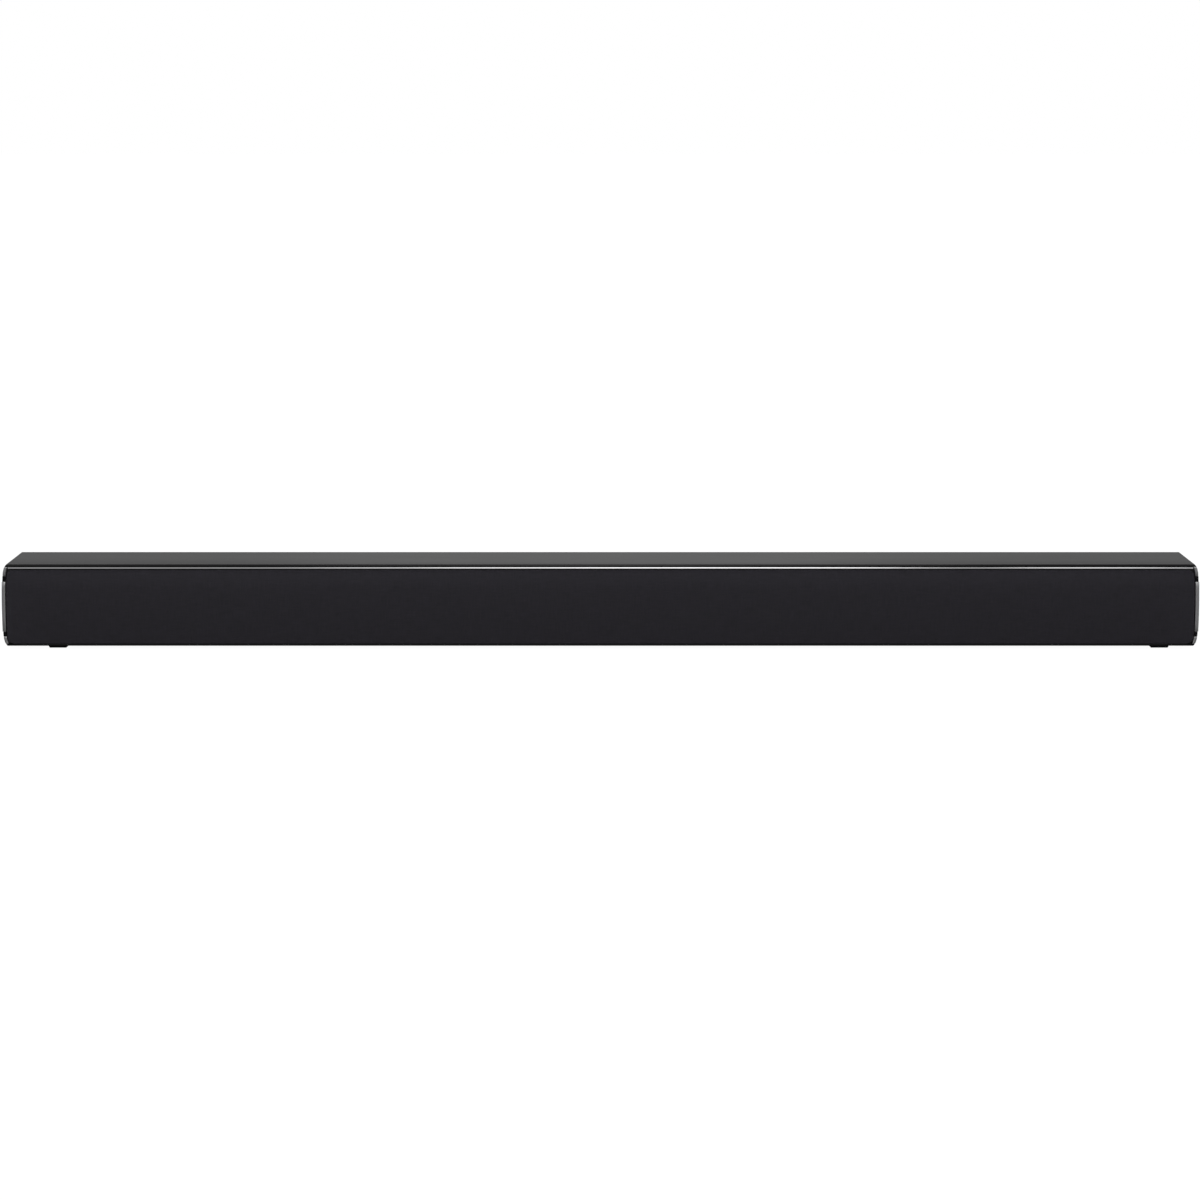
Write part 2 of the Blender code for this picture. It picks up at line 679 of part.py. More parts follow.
def make_end_cap(name, side):
    """A hollow cap, open towards the cabinet, with the lower lip's end and the two ribs over the trim."""
    cap = slab(name, "Y", cap_outline(side, (BODY_BOTTOM, WALL_TOP), 0), CAP_FRONT, BACK, GLOSS)
    pocket = slab(
        name + "_pocket_cutter", "Y",
        cap_outline(side, (FLOOR_TOP, WALL_TOP - WALL), CAP_WALL, CAP_INNER - WALL),
        CAP_FRONT + WALL, REAR_INSIDE,
    )
    cut(cap, pocket)
    join(cap, slab(name + "_lip", "Y", cap_outline(side, (BODY_BOTTOM, BODY_BOTTOM + LIP_HEIGHT), 0),
                   LIP_FRONT, CAP_FRONT + WALL / 2))
    outside, face_back = TRIM_WIDTH - TRIM_WEB - GAP, TRIM_FRONT + RIB_FACE
    for number, (low, high) in enumerate(RIB_ZONES):
        zone = (low + GAP, high - GAP)
        join(
            cap,
            end_band(f"{name}_rib_{number}", side, zone, outside, 0, TRIM_FRONT, CAP_FRONT + WALL / 2),
            end_band(f"{name}_rib_face_{number}", side, zone, TRIM_WIDTH, 0, TRIM_FRONT, face_back),
        )
    reach = sorted((side * (CAP_INNER - WALL), side * (end_half_width(MIDDLE) - TRIM_WIDTH)))
    cut(cap, box(
        name + "_strip_cutter",
        (reach[0], CAP_FRONT - WALL, STRIP_BOTTOM - GAP),
        (reach[1], STRIP_BACK + GAP, WALL_TOP + WALL),
    ))
    return cap


def cap_outline(side, heights, inset, inner=CAP_INNER):
    levels = end_levels(*heights)
    return [(side * (end_half_width(z) - inset), z) for z in levels] + [
        (side * inner, heights[1]), (side * inner, heights[0])
    ]


def button_places():
    first = -BUTTON_PITCH * (len(BUTTON_NAMES) - 1) / 2
    return [(name, first + BUTTON_PITCH * number) for number, name in enumerate(BUTTON_NAMES)]


def button_post_reach():
    """How far from the middle each post stands, just clear of the last button's flange."""
    return button_places()[-1][1] + BUTTON_FACE[0] / 2 + BUTTON_FLANGE + GAP + BUTTON_POST_RADIUS


def add_button_features(cap):
    """A shallow capsule recess, a hole for each button and two posts for the button board."""
    half_y = button_places()[-1][1] + BUTTON_FACE[0] / 2 + BUTTON_RECESS_MARGIN
    half_z = BUTTON_FACE[1] / 2 + BUTTON_RECESS_MARGIN
    corner = half_z * BUTTON_RECESS_ROUNDING
    outline = rounded_rectangle((-half_y, MIDDLE - half_z), (half_y, MIDDLE + half_z), corner, 5)
    cut(cap, slab("button_recess_cutter", "X", outline, RECESS_FLOOR, CAP_FACE + WALL))
    for name, y in button_places():
        half = [size / 2 + GAP for size in BUTTON_FACE]
        outline = rounded_rectangle(
            (y - half[0], MIDDLE - half[1]), (y + half[0], MIDDLE + half[1]), BUTTON_CORNER + GAP, 2
        )
        cut(cap, slab(name + "_hole_cutter", "X", outline, CAP_INSIDE - WALL, CAP_FACE + WALL))
    for side in (-1, 1):
        centre = (side * button_post_reach(), MIDDLE)
        end = CAP_INSIDE + (CAP_WALL - BUTTON_RECESS) / 2
        join(cap, rod(f"button_post_{side}", "X", centre, SWITCH_BASE + GAP, end, BUTTON_POST_RADIUS))


def make_buttons():
    """Each button slides along X. Its stem pushes the plunger of a switch on the button board."""
    half_length = button_post_reach() + BUTTON_POST_RADIUS + GAP
    board = box(
        "button_board",
        (SWITCH_BASE - BOARD, -half_length, MIDDLE - BUTTON_BOARD_HEIGHT / 2),
        (SWITCH_BASE, half_length, MIDDLE + BUTTON_BOARD_HEIGHT / 2),
        CIRCUIT,
    )
    for name, y in button_places():
        centre = (RECESS_FLOOR + BUTTON_PROUD, y, MIDDLE)
        half = [size / 2 for size in BUTTON_FACE]
        outline = rounded_rectangle((-half[0], -half[1]), half, BUTTON_CORNER, 2)
        button = slab(name, "X", outline, FLANGE_FACE - BUTTON_FLANGE_THICKNESS - centre[0], 0, GLOSS)
        button.matrix_world = Matrix.Translation(centre) @ button.matrix_world
        reach = [size + BUTTON_FLANGE for size in half]
        flange = box(
            name + "_flange",
            (FLANGE_FACE - BUTTON_FLANGE_THICKNESS, y - reach[0], MIDDLE - reach[1]),
            (FLANGE_FACE, y + reach[0], MIDDLE + reach[1]),
        )
        stem = rod(name + "_stem", "X", (y, MIDDLE), STEM_END, FLANGE_FACE, BUTTON_STEM_RADIUS)
        join(button, flange, stem)
        switch = box(
            name + "_switch",
            (SWITCH_BASE - BOARD / 2, y - SWITCH_SIZE / 2, MIDDLE - SWITCH_SIZE / 2),
            (SWITCH_FACE, y + SWITCH_SIZE / 2, MIDDLE + SWITCH_SIZE / 2),
        )
        well = SWITCH_FACE - PLUNGER_SINK - BUTTON_TRAVEL - GAP
        bore = rod(name + "_bore_cutter", "X", (y, MIDDLE), well, SWITCH_FACE + WALL, PLUNGER_RADIUS + GAP)
        join(board, switch)
        cut(board, bore)
        rod(name.replace("button", "plunger"), "X", (0, 0), SWITCH_FACE - PLUNGER_SINK - PLUNGER_TIP, 0,
            PLUNGER_RADIUS, SOCKET, 12, ROOT, (PLUNGER_TIP, y, MIDDLE))


def make_lower_housing():
    """Floor, rear wall, end walls and speaker chamber walls in one moulding."""
    step = FRONT + CLOTH_THICKNESS + FRAME_THICKNESS + 2 * GAP + GAP
    section = [(LIP_FRONT, BODY_BOTTOM)]
    section += arc((BACK - REAR_RADIUS, BODY_BOTTOM + REAR_RADIUS), REAR_RADIUS, -90, 0, 4)
    section += [(BACK, WALL_TOP), (REAR_INSIDE, WALL_TOP), (REAR_INSIDE, FLOOR_TOP)]
    section += [(step, FLOOR_TOP), (step, BODY_BOTTOM + LIP_HEIGHT), (LIP_FRONT, BODY_BOTTOM + LIP_HEIGHT)]
    housing = slab("lower_housing", "X", section, -HOUSING_END, HOUSING_END, MATT)
    start, end = BAFFLE_BACK + GAP, BACK - WALL / 2
    base = BODY_BOTTOM + WALL / 2
    for side in (-1, 1):
        left, right = sorted((side * HOUSING_END, side * (HOUSING_END - WALL)))
        join(housing, box(
            f"end_wall_{side}", (left, start, FLOOR_TOP - GAP), (right, REAR_INSIDE + GAP, WALL_TOP)
        ))
        middle = side * PARTITION_X
        join(housing, box(
            f"partition_{side}",
            (middle - PARTITION / 2, start, FLOOR_TOP - GAP),
            (middle + PARTITION / 2, REAR_INSIDE + GAP, WALL_TOP - GAP),
        ))
    join(housing, box(
        "baffle_stop",
        (-BAFFLE_HALF, BAFFLE_FRONT - GAP - BAFFLE_STOP, base),
        (BAFFLE_HALF, BAFFLE_FRONT - GAP, FLOOR_TOP + BAFFLE_STOP_HEIGHT),
    ))
    head = BODY_BOTTOM + SCREW_SINK + SCREW_HEAD_HEIGHT + GAP
    for number, centre in screw_places():
        join(housing, rod(f"boss_{number}", "Z", centre, base, BOSS_TOP, BOSS_RADIUS))
        cut(
            housing,
            rod(f"head_cutter_{number}", "Z", centre, 0, head, SCREW_HEAD_RADIUS + 2 * GAP),
            rod(f"shank_cutter_{number}", "Z", centre, 0, BOSS_TOP + WALL, SCREW_RADIUS + GAP),
        )
    for word, (low, high), top in (("main", MAIN_BOARD, MAIN_BOARD_Z), ("power", POWER_BOARD, POWER_BOARD_Z)):
        for number, centre in enumerate(standoffs(low, high)):
            name = f"{word}_standoff_{number}"
            join(housing, rod(name, "Z", centre, base, top - GAP, STANDOFF_RADIUS, segments=8))
    add_signal_recess(housing, end)
    add_inlet_recess(housing, end)
    add_vents(housing)
    for side in (-1, 1):
        add_keyhole_seat(housing, side)
    half_x, half_y = (size / 2 + GAP for size in FOOT_SIZE)
    for name, x, y in foot_places():
        top = BODY_BOTTOM + FOOT_INSET
        cut(housing, box(name + "_seat_cutter", (x - half_x, y - half_y, 0), (x + half_x, y + half_y, top)))


def standoffs(low, high):
    for x in (low[0] + STANDOFF_INSET, high[0] - STANDOFF_INSET):
        for y in (low[1] + STANDOFF_INSET, high[1] - STANDOFF_INSET):
            yield x, y


def add_signal_recess(housing, end):
    """A tunnel in from the rear wall, closed at its inner end by the socket panel."""
    (left, bottom), (right, top) = RECESS_LOW, RECESS_HIGH
    join(housing, box(
        "signal_tunnel",
        (left - RECESS_WALL, RECESS_INNER, bottom - RECESS_WALL),
        (right + RECESS_WALL, end, top + RECESS_WALL),
    ))
    cut(housing, box("signal_recess_cutter", (left, RECESS_INNER - WALL, bottom), (right, BACK + WALL, top)))


def add_inlet_recess(housing, end):
    half_x, half_z = (size / 2 for size in INLET_RECESS)
    join(housing, box(
        "inlet_tunnel",
        (INLET_X - half_x - RECESS_WALL, RECESS_INNER - INLET_BACK, INLET_Z - half_z - RECESS_WALL),
        (INLET_X + half_x + RECESS_WALL, end, INLET_Z + half_z + RECESS_WALL),
    ))
    body_x, body_z = (size / 2 + GAP for size in INLET_BODY)
    cut(
        housing,
        box("inlet_recess_cutter", (INLET_X - half_x, RECESS_INNER, INLET_Z - half_z),
            (INLET_X + half_x, BACK + WALL, INLET_Z + half_z)),
        box("inlet_body_cutter", (INLET_X - body_x, RECESS_INNER - INLET_BACK - WALL, INLET_Z - body_z),
            (INLET_X + body_x, RECESS_INNER + WALL, INLET_Z + body_z)),
    )


def add_vents(housing):
    centre = (RECESS_LOW[0] + RECESS_HIGH[0]) / 2
    for number in range(VENT_COUNT):
        x = centre + VENT_PITCH * (number - (VENT_COUNT - 1) / 2)
        cut(housing, box(
            f"vent_cutter_{number}",
            (x - VENT_SIZE[0] / 2, REAR_INSIDE - WALL, VENT_Z - VENT_SIZE[1] / 2),
            (x + VENT_SIZE[0] / 2, BACK + WALL, VENT_Z + VENT_SIZE[1] / 2),
        ))


def add_keyhole_seat(housing, side):
    """A pad inside the rear wall, a shallow seat for the plate outside, and a window for the screw's head."""
    x = side * KEYHOLE_X
    half_x, half_z = (size / 2 + GAP for size in KEYHOLE_PLATE)
    join(housing, box(
        f"keyhole_pad_{side}",
        (x - half_x - WALL, REAR_INSIDE - KEYHOLE_PAD, KEYHOLE_Z - half_z),
        (x + half_x + WALL, REAR_INSIDE + WALL / 2, KEYHOLE_Z + half_z),
    ))
    window_x, window_z = (size / 2 for size in KEYHOLE_WINDOW)
    cut(
        housing,
        box(f"keyhole_seat_cutter_{side}", (x - half_x, BACK - KEYHOLE_SEAT, KEYHOLE_Z - half_z),
            (x + half_x, BACK + WALL, KEYHOLE_Z + half_z)),
        box(f"keyhole_window_cutter_{side}",
            (x - window_x, REAR_INSIDE - KEYHOLE_PAD - WALL, KEYHOLE_Z - window_z),
            (x + window_x, BACK + WALL, KEYHOLE_Z + window_z)),
    )


def make_keyhole_plate(name, side):
    """A steel plate with a round hole for a screw's head, and a slot up from it that the neck hangs in."""
    x = side * KEYHOLE_X
    half_x, half_z = (size / 2 for size in KEYHOLE_PLATE)
    start = BACK - KEYHOLE_SEAT + GAP
    plate = slab(
        name, "Y",
        rounded_rectangle(
            (x - half_x, KEYHOLE_Z - half_z), (x + half_x, KEYHOLE_Z + half_z), KEYHOLE_CORNER, 2
        ),
        start, start + KEYHOLE_THICKNESS, STEEL,
    )
    head_z = KEYHOLE_Z - KEYHOLE_SLOT_RISE / 2
    half_slot = KEYHOLE_SLOT_WIDTH / 2
    slot_top = head_z + KEYHOLE_SLOT_RISE
    slot = [(x - half_slot, head_z), (x + half_slot, head_z), *arc((x, slot_top), half_slot, 0, 180, 6)]
    near, far = start - WALL, BACK + WALL
    cut(
        plate,
        rod(name + "_head_cutter", "Y", (x, head_z), near, far, KEYHOLE_HEAD_RADIUS, segments=20),
        slab(name + "_slot_cutter", "Y", slot, near, far),
    )


def foot_places():
    front = FRONT + FOOT_SETBACK + FOOT_SIZE[1] / 2
    rear = BACK - FOOT_REAR_SETBACK - FOOT_SIZE[1] / 2
    for row, y in (("front", front), ("rear", rear)):
        for word, x in FOOT_X:
            yield f"{word}_{row}_foot", x, y


def make_foot(name, x, y):
    """A rubber pad let into the floor, a little narrower at the bottom."""
    half = [size / 2 for size in FOOT_SIZE]
    top = BODY_BOTTOM + FOOT_INSET - GAP
    foot = box(name, (-half[0], -half[1], 0), (half[0], half[1], top), RUBBER, ROOT, (x, y, 0))
    for point in foot.data.vertices:
        if point.co.z < top / 2:
            point.co.x -= math.copysign(FOOT_TAPER, point.co.x)
            point.co.y -= math.copysign(FOOT_TAPER, point.co.y)


def make_case_screw(number, x, y):
    """A pan-head screw, driven up through the floor into a post of the top cover."""
    base = BODY_BOTTOM + SCREW_SINK
    seat = base + SCREW_HEAD_HEIGHT
    name = f"case_screw_{number}"
    screw = rod(name, "Z", (0, 0), 0, SCREW_HEAD_HEIGHT, SCREW_HEAD_RADIUS, STEEL, 12, ROOT, (x, y, base))
    start, end = seat - SCREW_HEAD_HEIGHT / 2, seat + SCREW_LENGTH
    join(screw, rod(name + "_shank", "Z", (x, y), start, end, SCREW_RADIUS, segments=8))


def make_driver(number, x):
    """One driver behind the baffle. Its own Z axis points at the listener, from the baffle's rear face."""
    axis = bpy.data.objects.new(f"driver_{number}_axis", None)
    PARTS.objects.link(axis)
    axis.parent = ROOT
    axis.location = (x, BAFFLE_BACK, DRIVER_Z)
    axis.rotation_euler = (math.pi / 2, 0, 0)
    bpy.context.view_layer.update()
    make_basket(f"driver_{number}_basket", axis)
    make_magnet(f"driver_{number}_magnet", axis)
    make_surround(f"driver_{number}_surround", axis)
    make_cone(f"driver_{number}_cone", axis)


def make_basket(name, axis):
    base = -GAP - BASKET_DEPTH
    back = -GAP - FLANGE_THICKNESS
    hole = COIL_RADIUS + COIL_CLEARANCE * 2
    profile = [
        (FLANGE_RADIUS, -GAP),
        (FLANGE_RADIUS, back),
        (BASKET_MOUTH + FLANGE_THICKNESS, back),
        (BASKET_BASE_RADIUS, base),
        (hole, base),
        (hole, base + BASKET_WALL),
        (BASKET_BASE_RADIUS - BASKET_WALL, base + BASKET_WALL),
        (BASKET_MOUTH, -GAP),
    ]
    basket = turned(name, profile, STEEL, axis, closed=True)
    low, high = base + 2 * BASKET_WALL, back - BASKET_WALL
    half = BASKET_WINDOW / 2
    reach = FLANGE_RADIUS
    cut(
        basket,
        box(name + "_window_cutter_a", (-reach, -half, low), (reach, half, high), parent=axis),
        box(name + "_window_cutter_b", (-half, -reach, low), (half, reach, high), parent=axis),
    )


def make_magnet(name, axis):
    front = -GAP - BASKET_DEPTH - GAP
    back = front - MAGNET_LENGTH
    groove = back + MAGNET_BACK_PLATE
    pole = COIL_RADIUS - COIL_WALL - COIL_CLEARANCE
    profile = [
        (0, front + BASKET_WALL + COIL_CLEARANCE),
        (pole, front + BASKET_WALL + COIL_CLEARANCE),
        (pole, groove),
        (COIL_RADIUS + COIL_CLEARANCE, groove),
        (COIL_RADIUS + COIL_CLEARANCE, front),
        (MAGNET_RADIUS, front),
        (MAGNET_RADIUS, back),
        (0, back),
    ]
    turned(name, profile, FERRITE, axis, closed=False)


def make_surround(name, axis):
    """A half-roll rubber ring: flat lips at both edges and a rounded bead between them."""
    inner, outer = SURROUND_INNER, SURROUND_OUTER
    middle = (inner + outer) / 2 - SURROUND_LIP / 4
    under = (outer - inner) / 2 - SURROUND_LIP / 2 - SURROUND_THICKNESS
    over = under + SURROUND_THICKNESS
    profile = [(outer, SURROUND_THICKNESS), (outer, 0)]
    profile += bead(middle, under, SURROUND_ROLL - SURROUND_THICKNESS, 0, False)
    profile += [(inner, 0), (inner, SURROUND_THICKNESS)]
    profile += bead(middle, over, SURROUND_ROLL - SURROUND_THICKNESS, SURROUND_THICKNESS, True)
    turned(name, profile, RUBBER, axis, closed=True)


def bead(middle, half, rise, base, outwards):
    """Points over the half roll, from its outer foot to its inner one, or the other way."""
    angles = span(math.pi, 0, 3) if outwards else span(0, math.pi, 3)
    return [(middle + half * math.cos(angle), base + rise * math.sin(angle)) for angle in angles]


def make_cone(name, axis):
    """Paper cone, dust cap and voice coil, which move as one."""
    edge = SURROUND_INNER - GAP
    rim = SURROUND_THICKNESS / 2
    throat = rim - CONE_DEPTH
    coil_end = throat - CONE_WALL - COIL_LENGTH
    inside = COIL_RADIUS - COIL_WALL
    cap = [(share * COIL_RADIUS, DUST_CAP_RISE * (1 - share**2)) for share in DUST_CAP_STEPS]
    profile = [(radius, throat + rise) for radius, rise in cap]
    profile += [(COIL_RADIUS + CONE_WALL, throat), (edge, rim), (edge, rim - CONE_WALL)]
    profile += [(COIL_RADIUS, throat - CONE_NECK), (COIL_RADIUS, coil_end), (inside, coil_end)]
    profile += [(inside, throat - CONE_WALL), (0, throat + DUST_CAP_RISE - CONE_WALL)]
    turned(name, profile, PAPER, axis, closed=False)


def make_jack_panel():
    (left, bottom), (right, top) = RECESS_LOW, RECESS_HIGH
    panel = box(
        "jack_panel",
        (left - RECESS_WALL, PANEL_FRONT, bottom - RECESS_WALL),
        (right + RECESS_WALL, PANEL_BACK, top + RECESS_WALL),
        MATT,
    )
    start, end = PANEL_FRONT - WALL, PANEL_BACK + WALL
    hole = PHONO_COLLAR + GAP
    for number, x in enumerate(PHONO_X):
        cut(panel, rod(f"phono_hole_cutter_{number}", "Y", (x, SOCKET_Z), start, end, hole, segments=20))
    cut(panel, rod("aux_hole_cutter", "Y", (AUX_X, SOCKET_Z), start, end, AUX_COLLAR + GAP))
    half_x, half_z = (size / 2 + GAP for size in OPTICAL_WELL)
    cut(panel, box("optical_hole_cutter", (OPTICAL_X - half_x, start, SOCKET_Z - half_z),
                   (OPTICAL_X + half_x, end, SOCKET_Z + half_z)))


def socket_body(name, x, size, finish):
    """A block standing on the main board behind the socket panel."""
    return box(
        name,
        (x - size[0] / 2, SOCKET_BACK - size[1], MAIN_BOARD_TOP + GAP),
        (x + size[0] / 2, SOCKET_BACK, SOCKET_Z + size[2] / 2),
        finish,
    )


def make_sockets():
    for word, x, finish in zip(("left", "right"), PHONO_X, (WHITE, RED)):
        name = f"{word}_phono_jack"
        jack = socket_body(name, x, PHONO_BODY, finish)
        start, end = SOCKET_BACK - WALL, PANEL_BACK + PHONO_REACH
        join(jack, rod(name + "_collar", "Y", (x, SOCKET_Z), start, end, PHONO_COLLAR, segments=20))
        cut(jack, rod(name + "_bore_cutter", "Y", (x, SOCKET_Z), PANEL_FRONT, end + WALL, PHONO_BORE))
    aux = socket_body("aux_jack", AUX_X, AUX_BODY, SOCKET)
    join(aux, rod("aux_collar", "Y", (AUX_X, SOCKET_Z), SOCKET_BACK - WALL, PANEL_BACK, AUX_COLLAR))
    start, end = SOCKET_BACK - AUX_BODY[1] / 2, PANEL_BACK + WALL
    cut(aux, rod("aux_bore_cutter", "Y", (AUX_X, SOCKET_Z), start, end, AUX_BORE))
    optical = socket_body("optical_socket", OPTICAL_X, OPTICAL_BODY, SOCKET)
    half_x, half_z = (size / 2 for size in OPTICAL_WELL)
    cut(optical, box(
        "optical_well_cutter",
        (OPTICAL_X - half_x, SOCKET_BACK - OPTICAL_WELL_DEPTH, SOCKET_Z - half_z),
        (OPTICAL_X + half_x, SOCKET_BACK + WALL, SOCKET_Z + half_z),
    ))


def make_ac_inlet():
    """A two-pin mains inlet, its flange against the back of its recess and its body through it."""
    flange_start = RECESS_INNER + GAP
    face = flange_start + INLET_FLANGE_THICKNESS
    half_x, half_z = (size / 2 for size in INLET_FLANGE)
    low = (INLET_X - half_x, flange_start, INLET_Z - half_z)
    inlet = box("ac_inlet", low, (INLET_X + half_x, face, INLET_Z + half_z), SOCKET)
    body_x, body_z = (size / 2 for size in INLET_BODY)
    join(inlet, box(
        "inlet_body", (INLET_X - body_x, INLET_END, INLET_Z - body_z),
        (INLET_X + body_x, flange_start + INLET_FLANGE_THICKNESS / 2, INLET_Z + body_z),
    ))
    radius, offset = INLET_WELL_RADIUS, INLET_WELL_HALF
    outline = arc((INLET_X + offset, INLET_Z), radius, -90, 90, 8)
    outline += arc((INLET_X - offset, INLET_Z), radius, 90, 270, 8)
    well = face - INLET_WELL_DEPTH
    cut(inlet, slab("inlet_well_cutter", "Y", outline, well, face + WALL))
    for side in (-1, 1):
        x = INLET_X + side * INLET_PIN_SPACING / 2
        join(inlet, rod(f"inlet_pin_{side}", "Y", (x, INLET_Z), well - GAP, well + INLET_PIN_LENGTH,
                        INLET_PIN_RADIUS, segments=8))


def make_main_board():
    (left, front), (right, back) = MAIN_BOARD
    board = box("main_board", (left, front, MAIN_BOARD_Z), (right, back, MAIN_BOARD_TOP), CIRCUIT)
    x, y = AMPLIFIER
    width, depth, height = AMPLIFIER_SIZE
    join(board, box("amplifier_chip", (x - width / 2, y - depth / 2, MAIN_BOARD_Z + BOARD / 2),
                    (x + width / 2, y + depth / 2, MAIN_BOARD_TOP + height)))
    x = right - DECODER_INSET
    width, depth, height = DECODER_SIZE
    join(board, box("decoder_chip", (x - width / 2, -depth / 2, MAIN_BOARD_Z + BOARD / 2),
                    (x + width / 2, depth / 2, MAIN_BOARD_TOP + height)))
    base, top = MAIN_BOARD_Z + BOARD / 2, MAIN_BOARD_TOP + OUTPUT_COIL_HEIGHT
    for number, inset in enumerate(COIL_INSETS_Y):
        centre = (left + COIL_INSET, front + inset)
        join(board, rod(f"output_coil_{number}", "Z", centre, base, top, OUTPUT_COIL_RADIUS))


def make_heat_sink():
    """A finned block that stands on the amplifier chip."""
    x, y = AMPLIFIER
    base = MAIN_BOARD_TOP + AMPLIFIER_SIZE[2] + GAP
    half_x, half_y = SINK_SIZE[0] / 2, SINK_SIZE[1] / 2
    top = base + SINK_HEIGHT
    sink = box("heat_sink", (x - half_x, y - half_y, base), (x + half_x, y + half_y, top), ALUMINIUM)
    pitch = (SINK_SIZE[0] - SINK_FIN) / (SINK_FINS - 1)
    for number in range(SINK_FINS - 1):
        left = x - half_x + SINK_FIN + pitch * number
        cut(sink, box(f"fin_cutter_{number}", (left, y - half_y - WALL, base + SINK_BASE),
                      (left + pitch - SINK_FIN, y + half_y + WALL, top + WALL)))


def make_power_supply():
    (left, front), (right, back) = POWER_BOARD
    board = box("power_board", (left, front, POWER_BOARD_Z), (right, back, POWER_BOARD_TOP), CIRCUIT)
    middle = TRANSFORMER_Y
    x = right - FUSE_INSET
    width, depth, height = FUSE_SIZE
    join(board, box("fuse_holder", (x - width / 2, middle - depth / 2, POWER_BOARD_Z + BOARD / 2),
                    (x + width / 2, middle + depth / 2, POWER_BOARD_TOP + height)))
    base = POWER_BOARD_TOP + GAP
    width, depth, height = TRANSFORMER_SIZE
    transformer = box(
        "transformer", (TRANSFORMER_X - width / 2, middle - depth / 2 + TRANSFORMER_CORE / 2, base),
        (TRANSFORMER_X + width / 2, middle + depth / 2 - TRANSFORMER_CORE / 2, base + height), WINDING,
    )
    core = (width - TRANSFORMER_CORE) / 2
    join(transformer, box(
        "transformer_core", (TRANSFORMER_X - core, middle - depth / 2, base + TRANSFORMER_CORE / 2),
        (TRANSFORMER_X + core, middle + depth / 2, base + height + TRANSFORMER_CORE / 4),
    ))
    rod("filter_capacitor", "Z", (0, 0), 0, CAPACITOR_HEIGHT, CAPACITOR_RADIUS, SLEEVE, 20, ROOT,
        (CAPACITOR_X, middle, base))


def make_sensor_board():
    """The remote control's receiver and the status lamp, looking out through a window in the baffle."""
    half_x, half_z = (size / 2 for size in SENSOR_BOARD)
    start = BAFFLE_BACK + GAP
    board = box(
        "sensor_board", (SENSOR_X - half_x, start, DRIVER_Z - half_z),
        (SENSOR_X + half_x, start + SENSOR_BOARD_THICKNESS, DRIVER_Z + half_z), CIRCUIT,
    )
    for side in (-1, 1):
        x = SENSOR_X + side * SENSOR_SPACING / 2
        join(board, rod(f"sensor_lens_{side}", "Y", (x, DRIVER_Z), start - SENSOR_REACH,
                        start + SENSOR_BOARD_THICKNESS / 2, SENSOR_RADIUS))


def main():
    make_lower_housing()
    make_top_cover()
    make_front_baffle()
    make_grille_frame()
    make_grille_cloth()
    make_top_trim_strip()
    for word, side in (("left", -1), ("right", 1)):
        cap = make_end_cap(f"{word}_end_cap", side)
        make_end_trim(f"{word}_end_trim", side)
        make_keyhole_plate(f"{word}_keyhole_plate", side)
        if side == 1:
            add_button_features(cap)
    make_buttons()
    for foot in foot_places():
        make_foot(*foot)
    for number, x in enumerate(DRIVER_X, 1):
        make_driver(number, x)
    for number, (x, y) in screw_places():
        make_case_screw(number, x, y)
    make_jack_panel()
    make_sockets()
    make_ac_inlet()
    make_main_board()
    make_heat_sink()
    make_power_supply()
    make_sensor_board()


main()
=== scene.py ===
"""Soundbar: finishes, fine pieces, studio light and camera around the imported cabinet.

Units are metres. +X is to the right of someone who faces the grille, the grille faces -Y, and +Z is up.
"""

import json
import math

import bmesh
import bpy
from mathutils import Matrix, Vector


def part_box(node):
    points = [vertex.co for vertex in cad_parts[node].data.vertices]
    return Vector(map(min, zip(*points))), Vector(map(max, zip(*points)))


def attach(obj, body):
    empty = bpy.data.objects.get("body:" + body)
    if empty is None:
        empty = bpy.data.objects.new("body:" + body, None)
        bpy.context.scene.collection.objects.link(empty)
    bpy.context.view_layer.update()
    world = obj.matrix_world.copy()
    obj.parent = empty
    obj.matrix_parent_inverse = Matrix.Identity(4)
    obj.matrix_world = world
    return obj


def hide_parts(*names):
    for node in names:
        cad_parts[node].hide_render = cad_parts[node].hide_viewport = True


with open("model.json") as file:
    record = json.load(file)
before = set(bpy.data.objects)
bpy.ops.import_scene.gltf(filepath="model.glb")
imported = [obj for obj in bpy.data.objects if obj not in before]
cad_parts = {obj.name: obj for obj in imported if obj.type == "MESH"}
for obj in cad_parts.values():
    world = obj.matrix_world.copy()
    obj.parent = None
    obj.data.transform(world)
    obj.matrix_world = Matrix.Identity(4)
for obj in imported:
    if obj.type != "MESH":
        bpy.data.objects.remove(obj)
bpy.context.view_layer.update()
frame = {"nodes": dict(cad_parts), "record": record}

# How far a fine piece lies off the surface that it covers
SKIN = 0.00002
# A loose island with no more faces than this is a sliver
SLIVER_FACES = 4

# The cabinet's outline, seen from the front
MIDDLE = 0.0352
HALF_BODY = 0.0322
CAP_FACE = 0.4695
END_BULGE = 0.0008
END_ROUNDING = 0.0029
END_POWER = 12

# Cloth: it leans back above BEND_START, and CUT_REACH is how far its upright cuts go to each side
BEND_START = 0.0475
BEND_STEPS = 12
CLOTH_THICKNESS = 0.0008
CLOTH_EDGE = 0.00045
CUT_REACH = 0.44
CUT_STEPS = 22
GRILLE_CORNER = 0.004
GRILLE_INSET = 0.0031
OUTLINE_STEPS = 40

# Chrome strip: its face leans back by STRIP_SLOPE, give or take STRIP_TURN, in degrees
STRIP_EDGE = 0.00022
STRIP_CROWN = 0.0090
STRIP_SLOPE = 12
STRIP_TURN = 4.5

# Glossy lips: how deep the housing's is, and the normal that counts as facing forward. The housing's
# glossy lip is darker than the rest of the housing: painted shade for the shadow line under the grille
SHADED_LIP_DEPTH = 0.0020
FORWARD = -0.35

